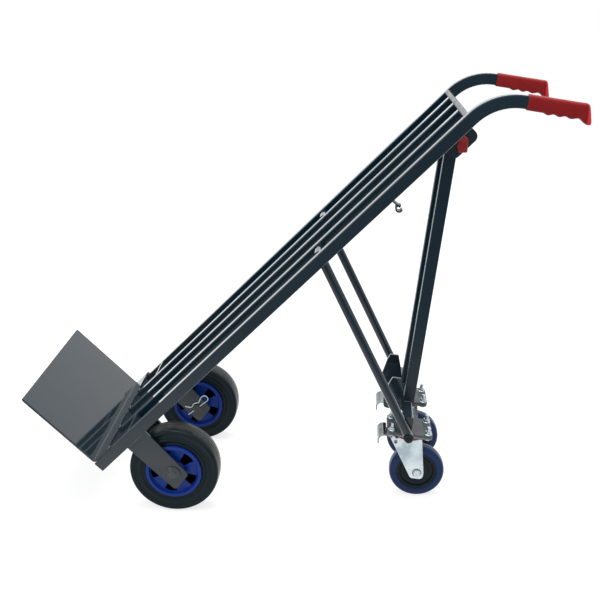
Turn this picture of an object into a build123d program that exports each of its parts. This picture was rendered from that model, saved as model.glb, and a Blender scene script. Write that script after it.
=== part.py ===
"""Self-supporting sack truck: a 45 degree ladder frame on two wheels, with a fold-away castor stand.

Millimetres, +Z up, floor at Z = 0. X runs from the toe plate (minus) to the handles (plus), Y runs
across the truck. "Left" is the -Y side, the left hand of a person pushing the truck toe first.
The frame is drawn in its own slanted axes: u runs up the side tubes from the toe and n points out
of the load side, with n = 0 on the front faces of the tubes. The stand is drawn in plain X and Z.
"""
import os
from math import atan2, cos, degrees, hypot, radians, sin, sqrt

from build123d import *

os.makedirs("parts", exist_ok=True)

# Fits and clearances
RUN_FIT = 0.05          # radial play of a pin in its bore
SEAT_GAP = 0.3          # side play between a turning part and its neighbour
BOLT_PLAY = 0.5         # radial play of a bolt in a plate hole

# Ladder frame
FRAME_TILT = 45.0       # side tubes above the floor, degrees
TUBE_W = 20.0           # across the truck
TUBE_D = 25.0           # front to back
TUBE_WALL = 2.0
TUBE_ROUND = 2.5
BAR_PITCH = 98.0        # from one bar or side tube to the next
CROSS_W = 10.5          # top crossbar, measured along the tubes
CROSS_U = 1072.0        # lower face of the top crossbar
BEND_RISE = 10.0        # handle bend starts this far above the crossbar's lower face
BEND_R = 111.0          # handle bend, to the middle of the tube
HANDLE_DROP = 8.5       # slope of the handle below level, degrees
HANDLE_RUN = 113.0      # straight run of tube after the bend

# Grips
GRIP_START = 5.0        # along the straight run
GRIP_LEN = 111.0
GRIP_W = 26.0
GRIP_TOP = 14.6         # above the middle of the tube
GRIP_UNDER = 14.6
GRIP_LIP = 9.0          # extra drop of the end lip
GRIP_BUMPS = 3
GRIP_BUMP_H = 3.0
GRIP_ROUND = 5.0

# Toe plate
BLADE_LEN = 211.0
BLADE_OVER = 7.0        # the blade reaches this far past the middle of each side tube
BLADE_T = 5.0
FLANGE_H = 47.0
FLANGE_T = 4.5
TOE_BEND = 8.0
TOE_CORNER = 6.0

# Main wheels and their forks
WHEEL_R = 100.0
AXLE_U = 107.0
AXLE_N = -136.0
RIM_HALF_W = 30.5
RIM_LIP_R = 62.0
RIM_LIP_T = 7.5
RIM_SEAT_R = 58.5
RIM_IN_R = 54.0
WEB_HALF_T = 22.0
HUB_R = 19.0
HUB_HALF_L = 31.0
WINDOWS = 5
WINDOW_IN_R = 26.0
WINDOW_OUT_R = 51.0
WINDOW_HALF_DEG = 16.0
WINDOW_TURN = 44.0      # first window, degrees from level
WINDOW_FLOOR = 1.5      # half of the wall left between two blind windows
TYRE_HALF_W = 27.0
AXLE_R = 10.0
AXLE_HEAD_R = 18.0
AXLE_HEAD_T = 6.0
AXLE_BOSS_R = 11.0
AXLE_RIM_T = 3.5
PLATE_T = 5.0
PLATE_U0 = 82.0
PLATE_U1 = 140.0
PLATE_END_U1 = 131.0
PLATE_END_N0 = -168.0
PLATE_END_N1 = -161.0
PLATE_ROUND = 7.0
PLATE_OVER = 5.0        # middle of the outer plate past the middle of the side tube
WASHER_OUT_T = 1.2      # between the hub and the outer plate
WASHER_IN_T = 9.7       # between the hub and the inner plate
TIE_T = 5.0
TIE_U = 103.0
WASHER_R = 15.0
CLIP_WIRE_R = 1.5
CLIP_HOLE_R = 2.0
CLIP_BEND = 7.5
CLIP_TURN = 219.0       # direction of the clip's straight leg, degrees
PIN_PAST = 6.5          # wheel axle past the inner plate

# Strut, stand and fold
PIVOT_U = 678.0         # strut hinge on the frame
PIVOT_N = -12.5
STAND_DX = 514.0        # stand hinge, from the main axle
STAND_Z = 179.0
STRUT_FOLD = 55.0       # how far the strut swings when folding, degrees
STOW_N = -75.0          # latch bar behind the frame when folded
STRUT_R = 10.0
STRUT_WALL = 2.0
STRUT_PIN_R = 6.0
EYE_R = 11.0
TOP_EYE_LEN = 30.0
LOW_EYE_LEN = 21.5      # a little more than the tube is thick
SPACER_R = 9.0
VENT_R = 2.5
LEG_Y = 47.0
LEG_TOP_R = 12.5
BEAM_W = 24.0
BEAM_H = 46.0
BEAM_WALL = 3.0
BEAM_DX = 509.0         # middle of the cross beam, from the main axle
BEAM_END_T = 5.0
STUD_SHOULDER_R = 9.0
STUD_SHOULDER_T = 0.95  # between the beam's end plate and the strut's play
NUT_DOME_R = 9.5
DOME_T = 9.0
EAR_T = 6.0
EAR_Y = 66.0
EAR_H = 106.0
EAR_DEEP = 42.0

# Castors
CASTOR_EDGE = 4.5       # mount plate's edge short of the end of the beam
CASTOR_DX = 521.0       # swivel axis, from the main axle
CASTOR_TRAIL = 31.7     # wheel behind the swivel axis
CASTOR_R = 62.5
TREAD_IN_R = 46.0
TREAD_W = 32.0
MOUNT_T = 5.0
MOUNT_X = 100.0
MOUNT_Y = 85.0
MOUNT_ROUND = 8.0
MOUNT_TOP = 172.0
CASTOR_PLATE_T = 3.5
BOLT_X = 80.0
BOLT_Y = 60.0
BOLT_R = 4.0
BOLT_TOP = 189.0
NUT_H = 7.0
NUT_FLAT_R = 6.5
BOLT_HEAD_H = 4.5
RACE_R = 27.0
RACE_H = 9.5
KINGPIN_R = 6.0
CROWN_TOP = 151.0
CROWN_T = 4.0
CROWN_R = 31.0
RING_R = 32.0
RING_H = 6.0
CHEEK_IN = 18.0
CHEEK_T = 3.0
CASTOR_AXLE_R = 5.0
CASTOR_NUT_T = 5.0
PEDAL_DX = -27.0        # brake hinge, from the swivel axis
PEDAL_Z = 138.0
PEDAL_ROD_R = 4.0
TREAD_DX = -55.0
TREAD_Z = 143.0
TREAD_R = 14.0
PEDAL_T = 3.0
PEDAL_W = 60.0
PEDAL_ARM_W = 28.0

# Stand latch under the handles
LATCH_GAP = 4.0         # bracket below the top crossbar
LATCH_LEN = 72.0
BAR_UP = 12.1           # latch bar above the lower end of the bracket
BAR_BACK = 33.2         # latch bar behind the rear faces of the frame
LATCH_BASE_T = 5.0
LATCH_DEEP = 52.0       # cheeks behind the rear faces of the frame
LATCH_ROUND = 14.0
CHEEK_PLATE_Y = 64.5
CHEEK_PLATE_T = 5.0
SADDLE_Y = 15.0
SADDLE_T = 6.0
SADDLE_PLAY = 0.5
BAR_R = 6.0
BAR_HALF_L = 59.0
LEVER_UP = 36.9         # lever pin above the latch bar
LEVER_BACK = 13.0       # lever pin behind the rear faces of the frame
LEVER_PIN_R = 5.0
LEVER_T = 4.0
LEVER_HUB_R = 7.0
LEVER_Y = -70.5
HOOK_T = 10.0
HOOK_OPEN = 22.0        # the hook is drawn this far open, degrees
HOOK_WALL = 5.0
CAP_X = 22.0
CAP_Z = 34.0
CAP_T = 12.0
CAP_DX = 8.0            # middle of the red cap, from the lever pin
CAP_DZ = -26.0
CAP_PLAY = 0.1
STRIP_T = 3.0           # keeper strip
STRIP_W = 22.0
STRIP_FOOT = 34.0
STRIP_CURL = 5.0

# Sizes that follow from the ones above
C = cos(radians(FRAME_TILT))
S = sin(radians(FRAME_TILT))
TUBE_Y = 2 * BAR_PITCH
BEND_U = CROSS_U + BEND_RISE
BLADE_HALF_W = TUBE_Y + BLADE_OVER
MID_N = -TUBE_D / 2
ARC_N = MID_N - BEND_R
END_DEG = -HANDLE_DROP


def turned(radius, heading):
    """Point on the handle bend, from its centre, where the tube heads this way (degrees)."""
    return (-radius * sin(radians(heading)), radius * cos(radians(heading)))


ARC_X = C * BEND_U - S * ARC_N
ARC_Z = S * BEND_U + C * ARC_N
BEND_END = turned(BEND_R, END_DEG)
RUN_X = cos(radians(END_DEG))
RUN_Z = sin(radians(END_DEG))
GRIP_END = GRIP_START + GRIP_LEN
REACH_X = ARC_X + BEND_END[0] + GRIP_END * RUN_X + GRIP_TOP * sin(radians(HANDLE_DROP))
TOE_X = -S * BLADE_LEN
ORIGIN_X = -(REACH_X + TOE_X) / 2
ORIGIN_Z = WHEEL_R - S * AXLE_U - C * AXLE_N


def place(u, n):
    """World X and Z of a point in the frame's slanted axes."""
    return (ORIGIN_X + C * u - S * n, ORIGIN_Z + S * u + C * n)


def slanted(x, z):
    """Frame u and n of a point given in world X and Z."""
    return (C * (x - ORIGIN_X) + S * (z - ORIGIN_Z), -S * (x - ORIGIN_X) + C * (z - ORIGIN_Z))


AXLE_X, AXLE_Z = place(AXLE_U, AXLE_N)
PIVOT_X, PIVOT_Z = place(PIVOT_U, PIVOT_N)
STAND_X = AXLE_X + STAND_DX
LATCH_U1 = CROSS_U - LATCH_GAP
LATCH_U0 = LATCH_U1 - LATCH_LEN
LATCH_REAR_N = -TUBE_D - LATCH_DEEP
BAR_U = LATCH_U0 + BAR_UP
BAR_N = -TUBE_D - BAR_BACK
BAR_X, BAR_Z = place(BAR_U, BAR_N)
LEG_LEN = hypot(BAR_X - STAND_X, BAR_Z - STAND_Z)
LEG_TILT = degrees(atan2(BAR_X - STAND_X, BAR_Z - STAND_Z))
LEVER_U = BAR_U + LEVER_UP
LEVER_N = -TUBE_D - LEVER_BACK
STAND_U, STAND_N = slanted(STAND_X, STAND_Z)
STRUT_LEN = hypot(STAND_X - PIVOT_X, STAND_Z - PIVOT_Z)
STRUT_DEG = atan2(STAND_N - PIVOT_N, STAND_U - PIVOT_U) - radians(STRUT_FOLD)
STOW_HINGE_U = PIVOT_U + STRUT_LEN * cos(STRUT_DEG)
STOW_HINGE_N = PIVOT_N + STRUT_LEN * sin(STRUT_DEG)
STOW_U = STOW_HINGE_U + sqrt(LEG_LEN ** 2 - (STOW_N - STOW_HINGE_N) ** 2)
BEAM_X = AXLE_X + BEAM_DX
SWIVEL_X = AXLE_X + CASTOR_DX
ROLL_X = SWIVEL_X + CASTOR_TRAIL
LEAN_C = cos(radians(LEG_TILT))
LEAN_S = sin(radians(LEG_TILT))
ROLL_Z = STAND_Z + (CASTOR_R - STAND_Z + (ROLL_X - STAND_X) * LEAN_S) / LEAN_C


def stood(x, z):
    """World X and Z of a point of the stand's foot, which is drawn level and leans with the legs."""
    dx = x - STAND_X
    dz = z - STAND_Z
    return (STAND_X + dx * LEAN_C + dz * LEAN_S, STAND_Z - dx * LEAN_S + dz * LEAN_C)


MOUNT_LOW = MOUNT_TOP - MOUNT_T
CASTOR_PLATE_LOW = MOUNT_LOW - CASTOR_PLATE_T
LEVER_X, LEVER_Z = place(LEVER_U, LEVER_N)
BASE_N = -TUBE_D - LATCH_BASE_T
BAY_IN = BAR_PITCH + TUBE_W / 2
BAY_OUT = TUBE_Y - TUBE_W / 2
OUTER_PLATE_Y = TUBE_Y + PLATE_OVER
WHEEL_Y = OUTER_PLATE_Y - PLATE_T / 2 - WASHER_OUT_T - SEAT_GAP - HUB_HALF_L
INNER_PLATE_Y = WHEEL_Y - HUB_HALF_L - SEAT_GAP - WASHER_IN_T - PLATE_T / 2
PIN_END_Y = INNER_PLATE_Y - PLATE_T / 2 - PIN_PAST
STRUT_Y = (BAY_IN + BAY_OUT) / 2
BEAM_HALF_L = STRUT_Y - LOW_EYE_LEN / 2 - SEAT_GAP - STUD_SHOULDER_T - BEAM_END_T
CASTOR_Y = BEAM_HALF_L - CASTOR_EDGE - MOUNT_Y / 2

SIDE = Plane(origin=(ORIGIN_X, 0, ORIGIN_Z), x_dir=(C, 0, S), z_dir=(0, -1, 0))
UPRIGHT = Plane(origin=(0, 0, 0), x_dir=(1, 0, 0), z_dir=(0, -1, 0))
UP_TUBE = (C, 0, S)
SIDES = (("left", -1), ("right", 1))


def side(y):
    """Slanted u, n drawing plane at this distance across the truck."""
    return SIDE.offset(-y)


def upright(y):
    """Plain X, Z drawing plane at this distance across the truck."""
    return UPRIGHT.offset(-y)


def across(x, y, z):
    """Half-section plane of a turned part on a cross axle: axial first, then radial."""
    return Plane(origin=(x, y, z), x_dir=(0, 1, 0), z_dir=(1, 0, 0))


def cross_axis(x, z):
    """Axis across the truck through this X and Z."""
    return Axis(origin=(x, 0, z), direction=(0, 1, 0))


def hollow_section(width, depth, wall, corner):
    """Draw a rounded rectangular tube section in the open sketch."""
    RectangleRounded(width, depth, corner)
    RectangleRounded(width - 2 * wall, depth - 2 * wall, corner / 2, mode=Mode.SUBTRACT)


def save(builder, name):
    """Name the finished part and write it out."""
    builder.part.label = name
    export_step(builder.part, f"parts/{name}.step")


def save_stood(builder, name):
    """Lean a part of the stand's foot with the legs, name it and write it out."""
    leaning = builder.part.rotate(cross_axis(STAND_X, STAND_Z), LEG_TILT)
    leaning.label = name
    export_step(leaning, f"parts/{name}.step")


# Side tubes, each one tube from the toe to the end of its handle
for hand, way in SIDES:
    tube_y = way * TUBE_Y
    foot = place(0, MID_N)
    knee = place(BEND_U, MID_N)
    arc_x = ORIGIN_X + ARC_X
    arc_z = ORIGIN_Z + ARC_Z
    half = turned(BEND_R, (FRAME_TILT + END_DEG) / 2)
    tip = (arc_x + BEND_END[0], arc_z + BEND_END[1])
    last = (tip[0] + HANDLE_RUN * RUN_X, tip[1] + HANDLE_RUN * RUN_Z)
    with BuildPart() as side_tube:
        with BuildLine() as run:
            Line((foot[0], tube_y, foot[1]), (knee[0], tube_y, knee[1]))
            ThreePointArc(
                (knee[0], tube_y, knee[1]),
                (arc_x + half[0], tube_y, arc_z + half[1]),
                (tip[0], tube_y, tip[1]),
            )
            Line((tip[0], tube_y, tip[1]), (last[0], tube_y, last[1]))
        with BuildSketch(Plane(origin=(foot[0], tube_y, foot[1]), x_dir=(0, 1, 0), z_dir=UP_TUBE)):
            hollow_section(TUBE_W, TUBE_D, TUBE_WALL, TUBE_ROUND)
        sweep(path=run.wires()[0])
    save(side_tube, f"side_tube_{hand}")

# The three bars between the side tubes
for spot, bar_y in (("left", -BAR_PITCH), ("centre", 0.0), ("right", BAR_PITCH)):
    bar_foot = place(0, MID_N)
    with BuildPart() as frame_bar:
        with BuildSketch(Plane(origin=(bar_foot[0], bar_y, bar_foot[1]), x_dir=(0, 1, 0), z_dir=UP_TUBE)):
            hollow_section(TUBE_W, TUBE_D, TUBE_WALL, TUBE_ROUND)
        extrude(amount=CROSS_U)
    save(frame_bar, f"frame_bar_{spot}")

# Crossbar closing the tops of the bars
with BuildPart() as top_crossbar:
    with BuildSketch(side(0)):
        with Locations((CROSS_U + CROSS_W / 2, MID_N)):
            hollow_section(CROSS_W, TUBE_D, TUBE_WALL, TUBE_ROUND)
    extrude(amount=BAY_OUT, both=True)
save(top_crossbar, "top_crossbar")

# Toe plate: one sheet bent into a blade and a flange
with BuildPart() as toe_plate:
    with BuildSketch(side(0)):
        with BuildLine():
            Polyline(
                (0, BLADE_LEN),
                (0, 0),
                (FLANGE_H, 0),
                (FLANGE_H, FLANGE_T),
                (BLADE_T, FLANGE_T),
                (BLADE_T, BLADE_LEN),
                close=True,
            )
        make_face()
    extrude(amount=BLADE_HALF_W, both=True)
    out_x, out_z = place(0, 0)
    in_x, in_z = place(BLADE_T, FLANGE_T)
    fillet(toe_plate.edges().filter_by(Axis.Y).sort_by_distance((out_x, 0, out_z))[0], TOE_BEND)
    fillet(toe_plate.edges().filter_by(Axis.Y).sort_by_distance((in_x, 0, in_z))[0], TOE_BEND - FLANGE_T)
    free_x, free_z = place(BLADE_T / 2, BLADE_LEN)
    for end_y in (-BLADE_HALF_W, BLADE_HALF_W):
        fillet(toe_plate.edges().sort_by_distance((free_x, end_y, free_z))[0], TOE_CORNER)
save(toe_plate, "toe_plate")

# Wheel forks: outer plates on the side tubes, inner plates on a tie between bar and tube
FORK_OUTLINE = (
    (PLATE_U0, -TUBE_D),
    (PLATE_U0, PLATE_END_N0),
    (PLATE_END_U1, PLATE_END_N1),
    (PLATE_U1, -TUBE_D),
)
for hand, way in SIDES:
    for spot, plate_y in (("outer", OUTER_PLATE_Y), ("inner", INNER_PLATE_Y)):
        with BuildPart() as wheel_plate:
            with BuildSketch(side(way * plate_y)):
                with BuildLine():
                    Polyline(*FORK_OUTLINE, close=True)
                face = make_face()
                fillet(face.vertices().sort_by(Axis.Y)[:2], PLATE_ROUND)
                with Locations((AXLE_U, AXLE_N)):
                    Circle(AXLE_R + RUN_FIT, mode=Mode.SUBTRACT)
            extrude(amount=PLATE_T / 2, both=True)
        save(wheel_plate, f"wheel_plate_{spot}_{hand}")
    with BuildPart() as fork_tie:
        with BuildSketch(side(way * (BAY_IN + BAY_OUT) / 2)):
            with Locations((TIE_U + TIE_T / 2, -(TUBE_D - TIE_T) / 2)):
                Rectangle(TIE_T, TUBE_D - TIE_T)
            with Locations(((PLATE_U0 + PLATE_U1) / 2, -TUBE_D + TIE_T / 2)):
                Rectangle(PLATE_U1 - PLATE_U0, TIE_T)
        extrude(amount=(BAY_OUT - BAY_IN) / 2, both=True)
    save(fork_tie, f"fork_tie_{hand}")

# Wheel axles, their washers and the spring clips that hold them
OUTER_FACE = OUTER_PLATE_Y + PLATE_T / 2
CLIP_Y = (PIN_END_Y + INNER_PLATE_Y - PLATE_T / 2) / 2
HUB_IN = WHEEL_Y - HUB_HALF_L
HUB_OUT = WHEEL_Y + HUB_HALF_L
WASHERS = (
    (OUTER_PLATE_Y - PLATE_T / 2, HUB_OUT + SEAT_GAP),
    (HUB_IN - SEAT_GAP, INNER_PLATE_Y + PLATE_T / 2),
    (INNER_PLATE_Y - PLATE_T / 2, CLIP_Y + CLIP_WIRE_R + RUN_FIT),
)
CLIP_DIR = (cos(radians(CLIP_TURN)), 0, sin(radians(CLIP_TURN)))
CLIP_PATH = (
    (28, 0), (-41, 0), (-41, 16), (-27, 16), (-14, 9), (-2, 14.6), (9.4, 9.2), (20, 22),
)
for hand, way in SIDES:
    with BuildPart() as axle_pin:
        with BuildSketch(across(AXLE_X, 0, AXLE_Z)):
            with BuildLine():
                Polyline(
                    (way * PIN_END_Y, 0),
                    (way * PIN_END_Y, AXLE_R - 1),
                    (way * (PIN_END_Y + 1), AXLE_R),
                    (way * OUTER_FACE, AXLE_R),
                    (way * OUTER_FACE, AXLE_HEAD_R),
                    (way * (OUTER_FACE + AXLE_RIM_T - 1), AXLE_HEAD_R),
                    (way * (OUTER_FACE + AXLE_RIM_T), AXLE_HEAD_R - 1),
                    (way * (OUTER_FACE + AXLE_RIM_T), AXLE_BOSS_R + 1),
                    (way * (OUTER_FACE + AXLE_HEAD_T), AXLE_BOSS_R - 1),
                    (way * (OUTER_FACE + AXLE_HEAD_T), 0),
                    close=True,
                )
            make_face()
        revolve(axis=cross_axis(AXLE_X, AXLE_Z))
        with BuildSketch(Plane(origin=(AXLE_X, way * CLIP_Y, AXLE_Z), x_dir=(0, 1, 0), z_dir=CLIP_DIR)):
            Circle(CLIP_HOLE_R)
        extrude(amount=2 * AXLE_R, both=True, mode=Mode.SUBTRACT)
    save(axle_pin, f"axle_pin_{hand}")
    clip_plane = Plane(origin=(AXLE_X, way * CLIP_Y, AXLE_Z), x_dir=CLIP_DIR, z_dir=(0, 1, 0))
    with BuildPart() as spring_clip:
        with BuildLine(clip_plane) as wire:
            FilletPolyline(*CLIP_PATH, radius=CLIP_BEND)
        start = wire.wires()[0] @ 0
        heading = wire.wires()[0] % 0
        with BuildSketch(Plane(origin=start, z_dir=heading)):
            Circle(CLIP_WIRE_R)
        sweep(path=wire.wires()[0])
    save(spring_clip, f"spring_clip_{hand}")

with BuildPart() as axle_washers:
    for way in (-1, 1):
        for near_y, far_y in WASHERS:
            with BuildSketch(upright(way * (near_y + far_y) / 2)):
                with Locations((AXLE_X, AXLE_Z)):
                    Circle(WASHER_R)
                    Circle(AXLE_R + RUN_FIT, mode=Mode.SUBTRACT)
            extrude(amount=abs(far_y - near_y) / 2, both=True)
save(axle_washers, "axle_washers")

# Main wheels: spoked rim and solid tyre
RIM_SECTION = (
    (HUB_HALF_L, AXLE_R + RUN_FIT),
    (HUB_HALF_L, HUB_R - 2),
    (HUB_HALF_L - 2, HUB_R),
    (WEB_HALF_T + 2, HUB_R + 1),
    (WEB_HALF_T, HUB_R + 4),
    (WEB_HALF_T, RIM_IN_R - 3),
    (WEB_HALF_T + 4, RIM_IN_R),
    (RIM_HALF_W, RIM_IN_R + 1),
    (RIM_HALF_W, RIM_LIP_R - 1),
    (RIM_HALF_W - 1, RIM_LIP_R),
    (RIM_HALF_W - RIM_LIP_T, RIM_LIP_R),
    (RIM_HALF_W - RIM_LIP_T, RIM_SEAT_R),
)
TYRE_SEAT = RIM_HALF_W - RIM_LIP_T
TYRE_SECTION = (
    (TYRE_SEAT, RIM_SEAT_R),
    (TYRE_SEAT, RIM_LIP_R + 1),
    (TYRE_HALF_W - 2, RIM_LIP_R + 5),
    (TYRE_HALF_W, RIM_LIP_R + 12),
    (TYRE_HALF_W, WHEEL_R - 8.5),
    (TYRE_HALF_W - 0.7, WHEEL_R - 5),
    (TYRE_HALF_W - 2.7, WHEEL_R - 2.4),
    (TYRE_HALF_W - 9, WHEEL_R - 1.2),
    (TYRE_HALF_W - 18, WHEEL_R - 0.3),
    (TYRE_HALF_W - 23, WHEEL_R),
)


def mirrored(half_section):
    """Full section of a turned part from its plus half."""
    return [*half_section, *[(-a, r) for a, r in reversed(half_section)]]


def polar(radius, deg):
    """Point at this radius and angle."""
    return (radius * cos(radians(deg)), radius * sin(radians(deg)))


for hand, way in SIDES:
    with BuildPart() as wheel_rim:
        with BuildSketch(across(AXLE_X, way * WHEEL_Y, AXLE_Z)):
            with BuildLine():
                Polyline(*mirrored(RIM_SECTION), close=True)
            make_face()
        revolve(axis=cross_axis(AXLE_X, AXLE_Z))
        for face_y in (-WINDOW_FLOOR, WINDOW_FLOOR):
            with BuildSketch(upright(way * WHEEL_Y + face_y)):
                with Locations((AXLE_X, AXLE_Z)):
                    with PolarLocations(0, WINDOWS, start_angle=WINDOW_TURN):
                        with BuildSketch(mode=Mode.PRIVATE) as window:
                            with BuildLine():
                                Polyline(
                                    polar(WINDOW_IN_R, -WINDOW_HALF_DEG),
                                    polar(WINDOW_OUT_R, -WINDOW_HALF_DEG),
                                    polar(WINDOW_OUT_R + 1.5, 0),
                                    polar(WINDOW_OUT_R, WINDOW_HALF_DEG),
                                    polar(WINDOW_IN_R, WINDOW_HALF_DEG),
                                    close=True,
                                )
                            make_face()
                            fillet(window.vertices(), 1.5)
                        add(window.sketch)
            depth = WEB_HALF_T if face_y < 0 else -WEB_HALF_T
            extrude(amount=depth, mode=Mode.SUBTRACT)
    save(wheel_rim, f"wheel_rim_{hand}")
    with BuildPart() as wheel_tyre:
        with BuildSketch(across(AXLE_X, way * WHEEL_Y, AXLE_Z)):
            with BuildLine():
                Polyline(*mirrored(TYRE_SECTION), close=True)
            make_face()
        revolve(axis=cross_axis(AXLE_X, AXLE_Z))
    save(wheel_tyre, f"wheel_tyre_{hand}")

# Handle grips, drawn along the straight end of the tube
for hand, way in SIDES:
    grip_plane = Plane(
        origin=(ORIGIN_X + ARC_X + BEND_END[0], way * TUBE_Y, ORIGIN_Z + ARC_Z + BEND_END[1]),
        x_dir=(RUN_X, 0, RUN_Z),
        z_dir=(0, -1, 0),
    )
    bump = GRIP_LEN / 2 / GRIP_BUMPS
    plumb = (GRIP_TOP + GRIP_UNDER + GRIP_LIP) * sin(radians(HANDLE_DROP)) / RUN_X
    with BuildPart() as grip:
        with BuildSketch(grip_plane):
            with BuildLine():
                Polyline(
                    (GRIP_START, -GRIP_UNDER),
                    (GRIP_START, GRIP_TOP),
                    (GRIP_END, GRIP_TOP),
                    (GRIP_END + plumb, -GRIP_UNDER - GRIP_LIP),
                    (GRIP_END + plumb - GRIP_LIP, -GRIP_UNDER - GRIP_LIP),
                    (GRIP_END - 2 * GRIP_LIP, -GRIP_UNDER),
                    close=True,
                )
            make_face()
            for k in range(GRIP_BUMPS):
                with Locations((GRIP_START + GRIP_LEN / 3 + (k + 0.5) * bump, -GRIP_UNDER)):
                    Ellipse(0.46 * bump, GRIP_BUMP_H)
        extrude(amount=GRIP_W / 2, both=True)
        fillet(grip.edges().filter_by(lambda e: abs(e.length - GRIP_LEN) < 0.1), GRIP_ROUND)
        with BuildSketch(grip_plane):
            with Locations(((GRIP_START + HANDLE_RUN) / 2, 0)):
                Rectangle(HANDLE_RUN - GRIP_START, TUBE_D + 2 * CAP_PLAY)
        extrude(amount=TUBE_W / 2 + CAP_PLAY, both=True, mode=Mode.SUBTRACT)
    save(grip, f"grip_{hand}")

# Hinge pins of the struts, fixed across the outer bays of the frame, with their spacers
BAY_MID = (BAY_IN + BAY_OUT) / 2
with BuildPart() as strut_pins:
    for way in (-1, 1):
        with BuildSketch(side(way * BAY_MID)):
            with Locations((PIVOT_U, PIVOT_N)):
                Circle(STRUT_PIN_R)
        extrude(amount=(BAY_OUT - BAY_IN) / 2, both=True)
save(strut_pins, "strut_pins")

SPACER_LEN = (BAY_OUT - BAY_IN - TOP_EYE_LEN) / 2 - SEAT_GAP
with BuildPart() as strut_spacers:
    for way in (-1, 1):
        for spacer_y in (BAY_IN + SPACER_LEN / 2, BAY_OUT - SPACER_LEN / 2):
            with BuildSketch(side(way * spacer_y)):
                with Locations((PIVOT_U, PIVOT_N)):
                    Circle(SPACER_R)
                    Circle(STRUT_PIN_R + RUN_FIT, mode=Mode.SUBTRACT)
            extrude(amount=SPACER_LEN / 2, both=True)
save(strut_spacers, "strut_spacers")

# Struts: a tube with a cross eye at each end
STRUT_DIR = ((STAND_X - PIVOT_X) / STRUT_LEN, 0, (STAND_Z - PIVOT_Z) / STRUT_LEN)
for hand, way in SIDES:
    strut_plane = Plane(origin=(PIVOT_X, way * STRUT_Y, PIVOT_Z), x_dir=(0, 1, 0), z_dir=STRUT_DIR)
    with BuildPart() as strut:
        with BuildSketch(strut_plane):
            Circle(STRUT_R)
        extrude(amount=STRUT_LEN)
        with BuildSketch(strut_plane.offset(EYE_R + 2)):
            Circle(STRUT_R - STRUT_WALL)
        extrude(amount=STRUT_LEN - 2 * EYE_R - 4, mode=Mode.SUBTRACT)
        with BuildSketch(upright(way * STRUT_Y)):
            with Locations((PIVOT_X, PIVOT_Z)):
                Circle(EYE_R)
        extrude(amount=TOP_EYE_LEN / 2, both=True)
        with BuildSketch(upright(way * STRUT_Y)):
            with Locations((STAND_X, STAND_Z)):
                Circle(EYE_R)
        extrude(amount=LOW_EYE_LEN / 2, both=True)
        with BuildSketch(upright(way * STRUT_Y)):
            with Locations((PIVOT_X, PIVOT_Z), (STAND_X, STAND_Z)):
                Circle(STRUT_PIN_R + RUN_FIT)
        extrude(amount=TOP_EYE_LEN, both=True, mode=Mode.SUBTRACT)
        vent = strut_plane.offset(STRUT_LEN - EYE_R - 15)
        with BuildSketch(Plane(origin=vent.origin, x_dir=STRUT_DIR, z_dir=(0, -way, 0))):
            Circle(VENT_R)
        extrude(amount=STRUT_R + 1, mode=Mode.SUBTRACT)
    save(strut, f"strut_{hand}")

# Stand legs: rounded over the latch bar, standing on the cross beam
BEAM_LOW = MOUNT_TOP
BEAM_TOP = BEAM_LOW + BEAM_H
LEG_FOOT = BEAM_TOP - STAND_Z
LEG_DIR = (LEAN_S, LEAN_C)


def on_leg(along, aside):
    """X and Z of a point on the leg: along its axis from the stand hinge, and to its handle side."""
    return (
        STAND_X + along * LEG_DIR[0] + aside * LEG_DIR[1],
        STAND_Z + along * LEG_DIR[1] - aside * LEG_DIR[0],
    )


for hand, way in SIDES:
    hollow = TUBE_D / 2 - TUBE_WALL
    with BuildPart() as leg:
        with BuildSketch(upright(way * LEG_Y)):
            with BuildLine():
                Polyline(
                    on_leg(LEG_FOOT, -LEG_TOP_R), on_leg(LEG_LEN, -LEG_TOP_R),
                    on_leg(LEG_LEN, LEG_TOP_R), on_leg(LEG_FOOT, LEG_TOP_R),
                    close=True,
                )
            make_face()
            with Locations((BAR_X, BAR_Z)):
                Circle(LEG_TOP_R)
        extrude(amount=TUBE_W / 2, both=True)
        long_edges = leg.edges().filter_by(lambda e: e.length > LEG_LEN / 2)
        fillet(long_edges, TUBE_ROUND)
        with BuildSketch(upright(way * LEG_Y)):
            with BuildLine():
                Polyline(
                    on_leg(0, -hollow), on_leg(LEG_LEN - 2 * LEG_TOP_R, -hollow),
                    on_leg(LEG_LEN - 2 * LEG_TOP_R, hollow), on_leg(0, hollow),
                    close=True,
                )
            make_face()
        extrude(amount=TUBE_W / 2 - TUBE_WALL, both=True, mode=Mode.SUBTRACT)
        with BuildSketch(upright(way * LEG_Y)):
            with Locations((BAR_X, BAR_Z)):
                Circle(BAR_R + RUN_FIT)
        extrude(amount=TUBE_W, both=True, mode=Mode.SUBTRACT)
    save(leg, f"stand_leg_{hand}")

with BuildPart() as latch_bar:
    with BuildSketch(upright(0)):
        with Locations((BAR_X, BAR_Z)):
            Circle(BAR_R)
    extrude(amount=BAR_HALF_L, both=True)
    chamfer(latch_bar.edges().filter_by(GeomType.CIRCLE), 1)
save(latch_bar, "latch_bar")

# Cross beam of the stand, its end plates with the strut studs, and two upright ears
with BuildPart() as cross_beam:
    with BuildSketch(upright(0)):
        with Locations((BEAM_X, (BEAM_LOW + BEAM_TOP) / 2)):
            hollow_section(BEAM_W, BEAM_H, BEAM_WALL, BEAM_WALL)
    extrude(amount=BEAM_HALF_L, both=True)
save_stood(cross_beam, "cross_beam")

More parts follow.
